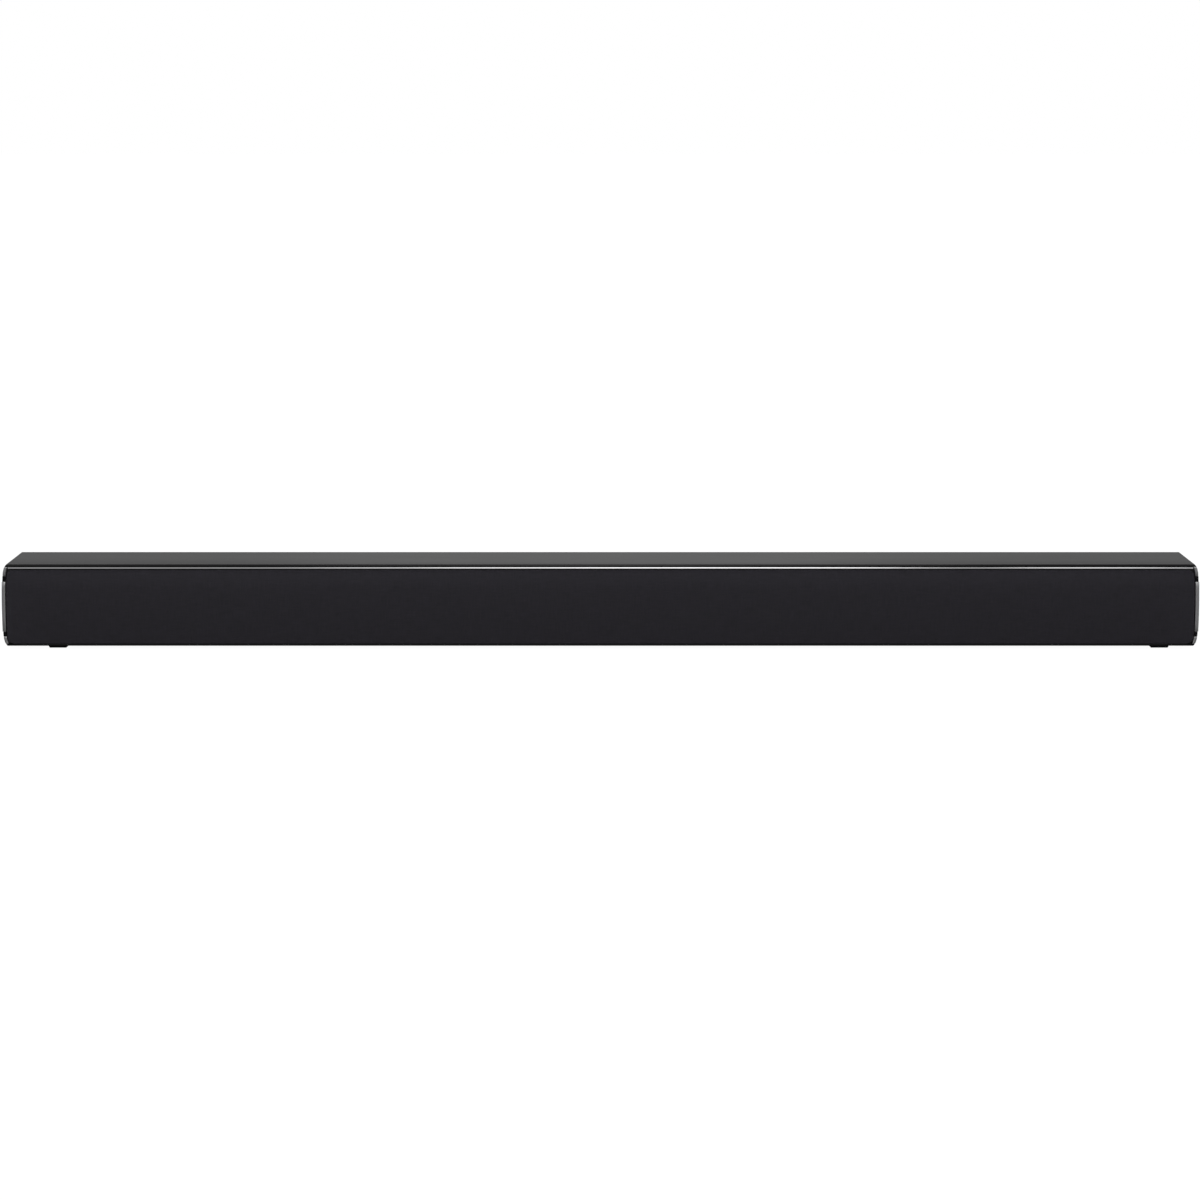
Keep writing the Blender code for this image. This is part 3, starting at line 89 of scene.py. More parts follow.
# Raised marks on the buttons
MARK_HEIGHT = 0.00006
MARK_STROKE = 0.00022
MARK_REACH = 0.0015

# Screws
SCREW_HEAD_HEIGHT = 0.0020
SCREW_RADIUS = 0.0015
PLATE_SCREW_HEAD = (0.0021, 0.0006)
PLATE_SCREW_INSET = 0.0042
HEAD_PROFILE = [(0, 1.0), (0.55, 0.96), (0.84, 0.78), (0.96, 0.5), (1.0, 0.22), (1.0, 0)]
CROSS_REACH = 0.52
CROSS_WIDTH = 0.13

# Sockets
SOCKET_Z = 0.033
PHONO_COLLAR = 0.0042
PHONO_BORE = 0.0022
PHONO_RIM = 0.0034
PHONO_PLATING = 0.00022
AUX_BORE = 0.0018
AUX_RING = 0.0028
AUX_RISE = 0.00042
OPTICAL_WELL_DEPTH = 0.009
LENS_BASE = 0.0017
LENS_RADIUS = 0.0011
LENS_LENGTH = 0.0028
LENS_CURVE = 300
INLET_Z = 0.032
INLET_WELL_DEPTH = 0.014
INLET_PIN_RADIUS = 0.0012
INLET_PIN_SPACING = 0.0086
INLET_PIN_LENGTH = 0.010

# Floor, room and camera. The camera looks down by CAMERA_DROP degrees
FLOOR_DROP = 0.0001
FLOOR_GLOW = 0.97
FLOOR_FADE = 0.10
ROOM_LIGHT = 0.28
CAMERA_LENS = 124.46
CAMERA_PLACE = (-0.00035, -3.2773, 0.4287)
CAMERA_DROP = 6.870

# Each lamp: name, place, aim, size, power
LAMPS = (
    ("overhead", (0.0, -0.20, 1.60), (0, 0, 0.03), (2.6, 1.2), 3.2),
    ("front_high", (0.0, -1.35, 1.50), (0, 0, 0.06), (1.8, 0.7), 6.0),
    ("front_wide", (0.02, -2.2, 1.15), (0.02, 0, 0.06), (0.83, 1.2), 0.88),
    ("front", (0.086, -2.18, 1.15), (0.086, 0, 0.06), (0.645, 1.2), 1.06),
    ("front_core", (0.151, -2.16, 1.15), (0.151, 0, 0.06), (0.41, 1.2), 0.48),
    ("front_side", (0.66, -2.2, 1.15), (0.40, 0, 0.06), (0.20, 1.2), 0.42),
    ("rear_high", (0.0, 1.9, 1.6), (0, 0, 0.04), (2.6, 0.9), 3.4),
    ("left", (-2.2, -0.1, 1.1), (-0.4, 0, 0.04), (1.2, 0.8), 2.6),
    ("right", (2.2, -0.1, 1.1), (0.4, 0, 0.04), (1.2, 0.8), 3.0),
    ("back", (-0.02, 2.4, 0.75), (0, 0, 0.06), (0.85, 0.7), 0.28),
    ("back_core", (-0.02, 2.4, 0.75), (0, 0, 0.06), (0.40, 0.7), 0.13),
)

# How a shape made along Z is turned to lie along another axis
AXES = {
    "X": Matrix(((0, 0, 1), (1, 0, 0), (0, 1, 0))).to_4x4(),
    "Y": Matrix(((1, 0, 0), (0, 0, -1), (0, 1, 0))).to_4x4(),
    "Z": Matrix.Identity(4),
}


# ---------------------------------------------------------------- node helpers


def new_group(name, inputs, outputs):
    """A shader node group, with its input and output nodes."""
    group = bpy.data.node_groups.new(name, "ShaderNodeTree")
    for label, value in inputs:
        socket = group.interface.new_socket(label, in_out="INPUT", socket_type="NodeSocketFloat")
        socket.default_value = value
    for label in outputs:
        group.interface.new_socket(label, in_out="OUTPUT", socket_type="NodeSocketFloat")
    return group, group.nodes.new("NodeGroupInput"), group.nodes.new("NodeGroupOutput")


def maths(tree, operation, *values):
    """One Math node. A value is a number or the socket that feeds it."""
    node = tree.nodes.new("ShaderNodeMath")
    node.operation = operation
    for socket, value in zip(node.inputs, values):
        feed(tree, socket, value)
    return node.outputs[0]


def feed(tree, socket, value):
    """Links a socket to a value's socket, or sets it to a number."""
    if isinstance(value, bpy.types.NodeSocket):
        tree.links.new(value, socket)
    else:
        socket.default_value = value


def stretched(tree, scale):
    """Object coordinates, scaled along each axis."""
    place = tree.nodes.new("ShaderNodeTexCoord")
    mapping = tree.nodes.new("ShaderNodeMapping")
    mapping.inputs["Scale"].default_value = scale
    tree.links.new(place.outputs["Object"], mapping.inputs["Vector"])
    return mapping.outputs["Vector"]


def noise(tree, vector, scale, detail=2.0, roughness=0.5):
    """The strength of a Noise texture."""
    node = tree.nodes.new("ShaderNodeTexNoise")
    tree.links.new(vector, node.inputs["Vector"])
    feed(tree, node.inputs["Scale"], scale)
    node.inputs["Detail"].default_value = detail
    node.inputs["Roughness"].default_value = roughness
    return node.outputs["Fac"]


def blended(tree, share, first, second):
    """A colour between two, by a share from 0 to 1."""
    mix = tree.nodes.new("ShaderNodeMix")
    mix.data_type = "RGBA"
    tree.links.new(share, mix.inputs["Factor"])
    mix.inputs[6].default_value = (*first, 1)
    mix.inputs[7].default_value = (*second, 1)
    return mix.outputs[2]


def make_moulding_group():
    """Fine moulded texture, with slow changes of sheen across a surface."""
    inputs = [("Scale", 2600.0), ("Spread", 0.06)]
    group, start, end = new_group("moulding", inputs, ["Height", "Shade", "Sheen"])
    fine = noise(group, stretched(group, (1, 1, 1)), start.outputs["Scale"], 3.0, 0.6)
    slow = noise(group, stretched(group, (1, 1, 1)), 24.0, 3.0)
    swing = maths(group, "SUBTRACT", slow, 0.5)
    group.links.new(fine, end.inputs["Height"])
    group.links.new(maths(group, "MULTIPLY", fine, slow), end.inputs["Shade"])
    group.links.new(maths(group, "MULTIPLY", swing, start.outputs["Spread"]), end.inputs["Sheen"])
    return group


def make_hairline_group():
    """Faint lines that run along the cabinet, and a slow haze over them."""
    group, start, end = new_group("hairline", [("Spread", 0.1)], ["Height", "Shade", "Sheen"])
    lines = noise(group, stretched(group, (1.2, 420, 60)), 4.0, 4.0, 0.7)
    haze = noise(group, stretched(group, (1, 3, 3)), 9.0, 3.0)
    swing = maths(group, "SUBTRACT", maths(group, "ADD", lines, haze), 1.0)
    group.links.new(lines, end.inputs["Height"])
    group.links.new(lines, end.inputs["Shade"])
    group.links.new(maths(group, "MULTIPLY", swing, start.outputs["Spread"]), end.inputs["Sheen"])
    return group


def make_weave_group():
    """Plain weave: warp and weft threads that pass over and under each other, unevenly."""
    group, start, end = new_group("weave", [("Threads", 1900.0)], ["Height", "Shade"])
    place = group.nodes.new("ShaderNodeTexCoord")
    parts = group.nodes.new("ShaderNodeSeparateXYZ")
    group.links.new(place.outputs["Object"], parts.inputs[0])
    threads = start.outputs["Threads"]
    across = maths(group, "MULTIPLY", parts.outputs["X"], threads)
    up = maths(group, "MULTIPLY", parts.outputs["Z"], threads)
    warp = maths(group, "ABSOLUTE", maths(group, "SINE", maths(group, "MULTIPLY", across, math.pi)))
    weft = maths(group, "ABSOLUTE", maths(group, "SINE", maths(group, "MULTIPLY", up, math.pi)))
    turn = maths(group, "ADD", maths(group, "FLOOR", across), maths(group, "FLOOR", up))
    over = maths(group, "FLOORED_MODULO", turn, 2.0)
    top = maths(group, "MULTIPLY", over, warp)
    under = maths(group, "MULTIPLY", maths(group, "SUBTRACT", 1.0, over), weft)
    height = maths(group, "ADD", top, under)
    slub = noise(group, stretched(group, (90, 90, 1400)), 1.0, 3.0)
    streak = noise(group, stretched(group, (1400, 90, 90)), 1.0, 3.0)
    uneven = maths(group, "MULTIPLY", maths(group, "ADD", slub, streak), 0.5)
    group.links.new(height, end.inputs["Height"])
    shade = maths(group, "MULTIPLY", maths(group, "ADD", height, 0.35), uneven)
    group.links.new(shade, end.inputs["Shade"])
    return group


MOULDING = make_moulding_group()
HAIRLINE = make_hairline_group()
WEAVE = make_weave_group()


def make_finish(name, group, settings, colours, roughness, bump, **plain):
    """A finish that takes colour, roughness and bump from one effect. Plain has its constants."""
    finish = bpy.data.materials.new(name)
    finish.use_nodes = True
    tree = finish.node_tree
    shader = tree.nodes["Principled BSDF"]
    effect = tree.nodes.new("ShaderNodeGroup")
    effect.node_tree = group
    for label, value in settings.items():
        effect.inputs[label].default_value = value
    tree.links.new(blended(tree, effect.outputs["Shade"], *colours), shader.inputs["Base Color"])
    if "Sheen" in effect.outputs:
        rough = maths(tree, "ADD", effect.outputs["Sheen"], roughness)
        tree.links.new(rough, shader.inputs["Roughness"])
    else:
        shader.inputs["Roughness"].default_value = roughness
    lift = tree.nodes.new("ShaderNodeBump")
    lift.inputs["Strength"].default_value = bump[0]
    lift.inputs["Distance"].default_value = bump[1]
    tree.links.new(effect.outputs["Height"], lift.inputs["Height"])
    tree.links.new(lift.outputs["Normal"], shader.inputs["Normal"])
    for label, value in plain.items():
        shader.inputs[label.replace("_", " ")].default_value = value
    return finish


def moulded(name, dark, light, roughness, scale=2600.0, spread=0.06, bump=(0.25, 0.00006), **plain):
    """A moulded, painted or plated finish, from a dark and a light colour."""
    settings = {"Scale": scale, "Spread": spread}
    return make_finish(name, MOULDING, settings, (dark, light), roughness, bump, **plain)


GLOSS = moulded(
    "gloss_black", (0.008, 0.008, 0.009), (0.014, 0.014, 0.015), 0.14, 900.0, 0.05, (0.04, 0.00003),
)
TOP = make_finish(
    "hairline_black", HAIRLINE, {"Spread": 0.10}, ((0.010, 0.010, 0.011), (0.022, 0.022, 0.023)), 0.33,
    (0.10, 0.00004),
)
MATT = moulded(
    "textured_black", (0.018, 0.018, 0.019), (0.046, 0.046, 0.047), 0.50, 3000.0, 0.08, (0.5, 0.0001),
)
CLOTH = make_finish(
    "grille_cloth", WEAVE, {"Threads": 1900.0}, ((0.0100, 0.0090, 0.0130), (0.060, 0.054, 0.076)), 0.60,
    (0.8, 0.0002), Sheen_Weight=0.15, Sheen_Roughness=0.5,
)
CHROME = moulded(
    "chrome", (0.80, 0.80, 0.81), (0.92, 0.92, 0.93), 0.10, 500.0, 0.04, (0.02, 0.00002), Metallic=1.0,
)
SATIN = moulded(
    "satin_chrome", (0.84, 0.84, 0.85), (0.95, 0.95, 0.96), 0.38, 500.0, 0.06, (0.02, 0.00002),
    Metallic=1.0,
)
RUBBER = moulded(
    "rubber", (0.050, 0.050, 0.052), (0.110, 0.110, 0.110), 0.78, 3600.0, 0.10, (0.5, 0.00012),
)
STEEL = moulded(
    "zinc_steel", (0.44, 0.45, 0.46), (0.68, 0.69, 0.70), 0.34, 420.0, 0.20, (0.12, 0.00005),
    Metallic=1.0,
)
NICKEL = moulded(
    "nickel", (0.62, 0.60, 0.56), (0.78, 0.76, 0.72), 0.22, 500.0, 0.10, (0.05, 0.00003), Metallic=1.0,
)
FERRITE = moulded(
    "ferrite", (0.030, 0.030, 0.033), (0.070, 0.070, 0.075), 0.62, 1500.0, 0.15, (0.5, 0.00015),
)
PAPER = moulded(
    "cone_paper", (0.016, 0.016, 0.016), (0.050, 0.049, 0.047), 0.84, 1100.0, 0.10, (0.6, 0.00020),
)
CIRCUIT = moulded(
    "circuit_board", (0.010, 0.085, 0.032), (0.030, 0.170, 0.075), 0.38, 700.0, 0.15, (0.2, 0.00006),
)
ALUMINIUM = moulded(
    "aluminium", (0.62, 0.63, 0.64), (0.80, 0.81, 0.82), 0.30, 600.0, 0.15, (0.1, 0.00005),
    Metallic=1.0,
)
WINDING = moulded(
    "transformer_tape", (0.62, 0.42, 0.05), (0.82, 0.62, 0.15), 0.46, 600.0, 0.12, (0.2, 0.00008),
)
SLEEVE = moulded(
    "capacitor_sleeve", (0.012, 0.020, 0.075), (0.030, 0.045, 0.130), 0.32, 500.0, 0.10, (0.1, 0.00004),
)
SOCKET = moulded(
    "socket_black", (0.010, 0.010, 0.011), (0.024, 0.024, 0.025), 0.38, 1800.0, 0.08, (0.2, 0.00006),
)
WHITE = moulded(
    "socket_white", (0.70, 0.70, 0.67), (0.86, 0.86, 0.83), 0.40, 1500.0, 0.08, (0.15, 0.00005),
)
LENS = moulded(
    "lens_red", (0.10, 0.004, 0.004), (0.16, 0.008, 0.008), 0.12, 600.0, 0.03, (0.02, 0.00002),
)
RED = moulded(
    "socket_red", (0.48, 0.012, 0.012), (0.68, 0.030, 0.030), 0.40, 1500.0, 0.08, (0.15, 0.00005),
)


# ---------------------------------------------------------------- shape helpers


def span(start, end, steps):
    """Evenly spaced values, both ends included."""
    return [start + (end - start) * step / steps for step in range(steps + 1)]


def arc(centre, radius, start, end, steps):
    """Points of an arc, with its angles in degrees."""
    return [
        (centre[0] + radius * math.cos(angle), centre[1] + radius * math.sin(angle))
        for angle in span(math.radians(start), math.radians(end), steps)
    ]


def end_half_width(z):
    """Half the cabinet's width at a height: bulged, and rounded off near the top and the bottom."""
    share = (z - MIDDLE) / HALF_BODY
    return CAP_FACE - END_BULGE * share**2 - END_ROUNDING * share**END_POWER


def panel(axis, outline, start, end):
    """A flat outline, extruded from start to end along one axis."""
    shape = bmesh.new()
    flat = shape.faces.new([shape.verts.new((u, v, start)) for u, v in outline])
    grown = bmesh.ops.extrude_face_region(shape, geom=[flat])["geom"]
    risen = [part for part in grown if isinstance(part, bmesh.types.BMVert)]
    bmesh.ops.translate(shape, vec=(0, 0, end - start), verts=risen)
    if axis == "Y":
        bmesh.ops.transform(shape, matrix=Matrix.Scale(-1, 4, (0, 0, 1)), verts=shape.verts)
    bmesh.ops.transform(shape, matrix=AXES[axis], verts=shape.verts)
    bmesh.ops.recalc_face_normals(shape, faces=shape.faces)
    return shape


def rounded(shape, width, segments, sharper_than=35):
    """Rounds every edge that turns more than an angle."""
    limit = math.radians(sharper_than)
    edges = [edge for edge in shape.edges if edge.is_manifold and edge.calc_face_angle() > limit]
    bmesh.ops.bevel(
        shape, geom=edges, offset=width, offset_type="OFFSET", affect="EDGES", segments=segments,
        profile=0.5, material=-1, clamp_overlap=True,
    )
    return shape


def drop_slivers(shape):
    """Drops the slivers that rounding leaves: few faces, joined to the rest by no edge of two faces."""
    bmesh.ops.remove_doubles(shape, verts=shape.verts, dist=0.000001)
    bmesh.ops.triangulate(shape, faces=[face for face in shape.faces if len(face.verts) > 4])
    slivers = []
    for face in shape.faces:
        face.tag = False
    for face in shape.faces:
        if face.tag:
            continue
        face.tag = True
        island = [face]
        for member in island:
            for edge in member.edges:
                if len(edge.link_faces) != 2:
                    continue
                for other in edge.link_faces:
                    if not other.tag:
                        other.tag = True
                        island.append(other)
        if len(island) <= SLIVER_FACES:
            slivers += island
    bmesh.ops.delete(shape, geom=slivers, context="FACES")


def finished(name, shape, finish, body="cabinet", nodes=(), smooth=40):
    """Makes a piece of a shape: its finish, the body it rides on, and the nodes it stands for."""
    drop_slivers(shape)
    mesh = bpy.data.meshes.new(name)
    shape.to_mesh(mesh)
    shape.free()
    mesh.materials.append(finish)
    mesh.shade_smooth()
    mesh.set_sharp_from_angle(angle=math.radians(smooth))
    piece = bpy.data.objects.new(name, mesh)
    bpy.context.scene.collection.objects.link(piece)
    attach(piece, body)
    if nodes:
        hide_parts(*nodes)
    return piece


def spun(profile, axis, centre, closed=False, steps=32):
    """A profile of (radius, place along the axis) turned full circle. A closed profile makes a ring."""
    shape = bmesh.new()
    points = [shape.verts.new((radius, 0, place)) for radius, place in profile]
    edges = [shape.edges.new(pair) for pair in zip(points, points[1:])]
    if closed:
        edges.append(shape.edges.new((points[-1], points[0])))
    bmesh.ops.spin(
        shape, geom=points + edges, cent=(0, 0, 0), axis=(0, 0, 1), angle=math.tau, steps=steps,
        use_merge=True,
    )
    bmesh.ops.remove_doubles(shape, verts=shape.verts, dist=0.000001)
    if axis == "Y":
        bmesh.ops.transform(shape, matrix=Matrix.Scale(-1, 4, (0, 0, 1)), verts=shape.verts)
    bmesh.ops.transform(shape, matrix=AXES[axis], verts=shape.verts)
    middle = list(centre)
    middle.insert("XYZ".index(axis), 0)
    bmesh.ops.translate(shape, vec=middle, verts=shape.verts)
    bmesh.ops.recalc_face_normals(shape, faces=shape.faces)
    return shape


def carved(shape, cutter):
    """A shape with another one cut out of it."""
    pair = []
    for part in (shape, cutter):
        mesh = bpy.data.meshes.new("carving")
        part.to_mesh(mesh)
        part.free()
        pair.append(bpy.data.objects.new("carving", mesh))
        bpy.context.scene.collection.objects.link(pair[-1])
    change = pair[0].modifiers.new("cut", "BOOLEAN")
    change.operation = "DIFFERENCE"
    change.object = pair[1]
    result = bmesh.new()
    result.from_object(pair[0], bpy.context.evaluated_depsgraph_get())
    for piece in pair:
        bpy.data.objects.remove(piece)
    bmesh.ops.remove_doubles(result, verts=result.verts, dist=0.000002)
    bmesh.ops.dissolve_degenerate(result, edges=result.edges, dist=0.000002)
    bmesh.ops.recalc_face_normals(result, faces=result.faces)
    return result


def cross(centre, reach, width):
    """The outline of a cross, round one point."""
    steps = [(width, reach), (width, width), (reach, width)]
    quarter = steps + [(u, -v) for u, v in reversed(steps)]
    outline = quarter + [(-u, -v) for u, v in quarter]
    return [(centre[0] + u, centre[1] + v) for u, v in outline]


def painted(piece, finish, where):
    """Gives a second finish to the faces of a piece that a test picks."""
    piece.data.materials.append(finish)
    for face in piece.data.polygons:
        if where(face):
            face.material_index = 1


BODIES = frame["record"]["behaviour"]["bodies"]
BODY_OF = {node: body for body, nodes in BODIES.items() for node in nodes}


def softened(node, finish, width=0.00025, segments=2):
    """A copy of a node with its triangles merged back to faces and its edges rounded."""
    shape = bmesh.new()
    shape.from_mesh(frame["nodes"][node].data)
    bmesh.ops.remove_doubles(shape, verts=shape.verts, dist=0.000005)
    bmesh.ops.dissolve_limit(
        shape, angle_limit=math.radians(1), use_dissolve_boundaries=False, verts=shape.verts,
        edges=shape.edges,
    )
    if width:
        rounded(shape, width, segments)
    return finished(node + "_fine", shape, finish, BODY_OF[node], [node])


# ---------------------------------------------------------------- pieces


def make_cloth():
    """Cloth stretched over the grille frame, its edge rolled back all round."""
    low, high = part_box("grille_cloth")
    bottom, top = low.z, high.z
    lean = high.y - low.y - CLOTH_THICKNESS
    levels = arc((0, bottom + GRILLE_CORNER), GRILLE_CORNER, -90, 0, 10)
    straight = span(bottom + GRILLE_CORNER, top - GRILLE_CORNER, OUTLINE_STEPS)
    levels += [(GRILLE_CORNER, z) for z in straight[1:-1]]
    levels += arc((0, top - GRILLE_CORNER), GRILLE_CORNER, 0, 90, 10)
    inset = GRILLE_INSET + GRILLE_CORNER
    right = [(end_half_width(z) - inset + reach, z) for reach, z in levels]
    outline = right + [(-x, z) for x, z in reversed(right)]
    shape = panel("Y", outline, low.y, low.y + CLOTH_THICKNESS)
    for z in span(BEND_START, top, BEND_STEPS)[:-1]:
        geometry = shape.verts[:] + shape.edges[:] + shape.faces[:]
        bmesh.ops.bisect_plane(shape, geom=geometry, plane_co=(0, 0, z), plane_no=(0, 0, 1), dist=1e-7)
    for x in span(-CUT_REACH, CUT_REACH, CUT_STEPS):
        geometry = shape.verts[:] + shape.edges[:] + shape.faces[:]
        bmesh.ops.bisect_plane(shape, geom=geometry, plane_co=(x, 0, 0), plane_no=(1, 0, 0), dist=1e-7)
    rounded(shape, CLOTH_EDGE, 3, 60)
    for point in shape.verts:
        point.co.y += lean * (max(0.0, point.co.z - BEND_START) / (top - BEND_START)) ** 2
    cloth = finished("grille_cloth_sheet", shape, CLOTH, nodes=["grille_cloth"])


def make_strip():
    """The chrome strip under the cover's lip: a leaning, slightly crowned face between round edges."""
    low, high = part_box("top_trim_strip")
    start = (low.y + STRIP_EDGE, low.z + STRIP_EDGE)
    rise = high.z - low.z - 2 * STRIP_EDGE
    face = arc((0, 0), STRIP_CROWN, 180 - STRIP_SLOPE + STRIP_TURN, 180 - STRIP_SLOPE - STRIP_TURN, 8)
    scale = rise / (face[-1][1] - face[0][1])
    section = arc(start, STRIP_EDGE, 270, 180 - STRIP_SLOPE + STRIP_TURN, 5)
    bottom = section[-1]
    section += [
        (bottom[0] + (y - face[0][0]) * scale, bottom[1] + (z - face[0][1]) * scale)
        for y, z in face[1:]
    ]
    top = section[-1]
    section += arc((top[0] + STRIP_EDGE, top[1] - STRIP_EDGE * 0.2), STRIP_EDGE, 150, 90, 4)
    section += [(high.y, section[-1][1]), (high.y, low.z)]
    shape = panel("X", section, low.x, high.x)
    finished("top_trim_strip_fine", shape, CHROME, nodes=["top_trim_strip"])


def make_screw(name, axis, centre, face, head, facing, shank=None, nodes=()):
    """A pan head screw with a cross recess. Its head stands on face, and facing is 1 or -1."""
    radius, height = head
    points = [(radius * share, face + facing * height * rise) for share, rise in HEAD_PROFILE]
    if shank:
        thin, end = shank
        points += [(thin, face), (thin, end + facing * thin * 0.6), (0, end)]
    else:
        points.append((0, face))
    top = face + facing * height * 1.2
    floor = face + facing * height * 0.25
    outline = cross(centre, radius * CROSS_REACH, radius * CROSS_WIDTH)
    pit = panel(axis, outline, *sorted((floor, top)))
    shape = carved(spun(points, axis, centre), pit)
    finished(name, shape, STEEL, nodes=nodes)


def make_case_screws():
    """Six screws from below, their heads in the housing's counterbores."""
    for number in range(1, 7):
        node = f"case_screw_{number}"
        low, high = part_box(node)
        middle = (low + high) / 2
        head = ((high.x - low.x) / 2, SCREW_HEAD_HEIGHT)
        make_screw(
            node + "_fine", "Z", (middle.x, middle.y), low.z + SCREW_HEAD_HEIGHT, head, -1,
            (SCREW_RADIUS, high.z), [node],
        )


def make_keyhole_plates():
    """Each steel plate, and the two screws that hold it."""
    for side in ("left", "right"):
        node = side + "_keyhole_plate"
        softened(node, STEEL, 0.00015)
        low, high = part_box(node)
        middle = (low.x + high.x) / 2
        for word, z in (("lower", low.z + PLATE_SCREW_INSET), ("upper", high.z - PLATE_SCREW_INSET)):
            name = f"{side}_plate_screw_{word}"
            make_screw(name, "Y", (middle, z), high.y + SKIN, PLATE_SCREW_HEAD, 1)


def make_phono_jacks():
    """Each jack has a coloured insulator, a plated barrel round it and a contact in its bore."""
    for side, finish, slot in (("left", WHITE, "socket_white"), ("right", RED, "socket_red")):
        node = side + "_phono_jack"
        softened(node, finish, 0.00012)
        low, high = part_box(node)
        centre = ((low.x + high.x) / 2, SOCKET_Z)
        start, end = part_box("jack_panel")[1].y, high.y
        outer = PHONO_COLLAR + SKIN
        rim = end + SKIN
        wide = outer + PHONO_PLATING
        narrow = PHONO_RIM - 0.00010
        barrel = [
            (outer, start), (wide, start), (wide, rim + 0.00008), (outer + 0.00010, rim + 0.00020),
            (PHONO_RIM, rim + 0.00020), (narrow, rim + 0.00010), (narrow, rim), (outer, rim),
        ]
        finished(side + "_phono_barrel", spun(barrel, "Y", centre, True, 40), NICKEL)
        bore = PHONO_BORE - SKIN
        contact = [(bore, start), (bore, end - 0.0012), (0.0017, end - 0.0008), (0.0016, start)]
        finished(side + "_phono_contact", spun(contact, "Y", centre, True, 28), NICKEL)


def make_stereo_jack():
    """The stereo jack, with a plated ring round its bore."""
    softened("aux_jack", SOCKET, 0.00012)
    low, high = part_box("aux_jack")
    centre = ((low.x + high.x) / 2, SOCKET_Z)
    face = high.y + SKIN
    inner = AUX_BORE + 0.00008
    ring = [
        (inner, face), (inner, face + 0.00030), (AUX_BORE + 0.00025, face + AUX_RISE),
        (AUX_RING - 0.00020, face + AUX_RISE), (AUX_RING, face + 0.00025), (AUX_RING, face),
    ]
    finished("aux_ring", spun(ring, "Y", centre, True, 36), NICKEL)


def make_optical_socket():
    """The optical socket, with a small lens at the bottom of its well."""
    softened("optical_socket", SOCKET, 0.00012)
    low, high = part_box("optical_socket")
    centre = ((low.x + high.x) / 2, SOCKET_Z)
    base = high.y - OPTICAL_WELL_DEPTH + SKIN
    end = base + LENS_LENGTH
    lens = [(0, base), (LENS_BASE, base), (LENS_BASE, base + 0.0010)]
    lens += [(LENS_RADIUS, base + 0.0012), (LENS_RADIUS, end)]
    for radius in (0.0008, 0.0004, 0):
        lens.append((radius, end + (LENS_RADIUS**2 - radius**2) * LENS_CURVE))
    finished("optical_lens", spun(lens, "Y", centre, False, 24), LENS)


def make_mains_inlet():
    """The inlet, and the plated sleeves of its two pins."""
    softened("ac_inlet", SOCKET, 0.00018)
    low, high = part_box("ac_inlet")
    middle = (low.x + high.x) / 2
    base = high.y - INLET_WELL_DEPTH + SKIN
    end = base + INLET_PIN_LENGTH
    outer = INLET_PIN_RADIUS + 0.00008
    inner = INLET_PIN_RADIUS + SKIN
    sleeve = [
        (outer, base), (outer, end + SKIN), (outer * 0.8, end + 0.00010), (0, end + 0.00012),
        (0, end + SKIN), (inner, end + SKIN), (inner, base),
    ]
    for word, side in (("left", -1), ("right", 1)):
        x = middle + side * INLET_PIN_SPACING / 2
        finished(f"mains_pin_{word}", spun(sleeve, "Y", (x, INLET_Z), True, 24), NICKEL)


def button_marks():
    """Outlines round a button's middle: a ring with a bar, an arrow, a minus and a plus."""
    ring = arc((0, 0), 0.0016, -235, 55, 22) + arc((0, 0), 0.0012, 55, -235, 22)
    bar = [(-0.0002, 0.0004), (0.0002, 0.0004), (0.0002, 0.0019), (-0.0002, 0.0019)]
    arrow = [
        (-0.0019, -0.0003), (0.0002, -0.0003), (0.0002, -0.0012), (0.0016, 0),
        (0.0002, 0.0012), (0.0002, 0.0003), (-0.0019, 0.0003),
    ]
    minus = [
        (-MARK_REACH, -MARK_STROKE), (MARK_REACH, -MARK_STROKE),
        (MARK_REACH, MARK_STROKE), (-MARK_REACH, MARK_STROKE),
    ]
    plus = list(reversed(cross((0, 0), MARK_REACH, MARK_STROKE)))
    return {"power": [ring, bar], "source": [arrow], "volume_down": [minus], "volume_up": [plus]}


def make_buttons():
    """The buttons and their plungers. The marks ride on the buttons."""
    for key, outlines in button_marks().items():
        node = key + "_button"
        softened(node, GLOSS, 0.00018, 3)
        softened(key + "_plunger", SOCKET, 0.0002)
        low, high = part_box(node)
        middle = ((low.y + high.y) / 2, (low.z + high.z) / 2)
        start = high.x + SKIN
        for number, outline in enumerate(outlines, 1):
            placed = [(middle[0] + u, middle[1] + v) for u, v in outline]
            shape = panel("X", placed, start, start + MARK_HEIGHT)
            finished(f"{key}_mark_{number}", shape, WHITE, BODY_OF[node])


def make_housings():
    """The shells, trims and feet. Of the cover and the housing, only the front lips are glossy. The
    housing's glossy lip is also darker than the housing: painted shade for the shadow line under the
    grille.
    """
    cover = softened("top_cover", TOP, 0.00012)
    painted(cover, GLOSS, lambda face: face.normal.y < FORWARD)
    housing = softened("lower_housing", MATT, 0.0002)
    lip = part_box("lower_housing")[0].y + SHADED_LIP_DEPTH
    # Gloss black on the housing's front lip: a glossy lip, and its darker colour is painted shade for
    # the shadow line under the grille
    painted(housing, GLOSS, lambda face: face.normal.y < FORWARD and face.center.y < lip)
    for side in ("left", "right"):
        softened(side + "_end_cap", GLOSS, 0.0002)
        softened(side + "_end_trim", SATIN, 0.00018)
        for row in ("front", "rear"):
            softened(f"{side}_{row}_foot", RUBBER, 0.0006, 3)
    for node in ("front_baffle", "grille_frame", "jack_panel"):
        softened(node, MATT, 0.0002)


def make_drivers():
    """The parts of the four drivers. The thin ones keep their sharp edges."""
    for number in range(1, 5):
        softened(f"driver_{number}_basket", STEEL, 0)
        softened(f"driver_{number}_magnet", FERRITE, 0.0004)
        softened(f"driver_{number}_surround", RUBBER, 0)
        softened(f"driver_{number}_cone", PAPER, 0)


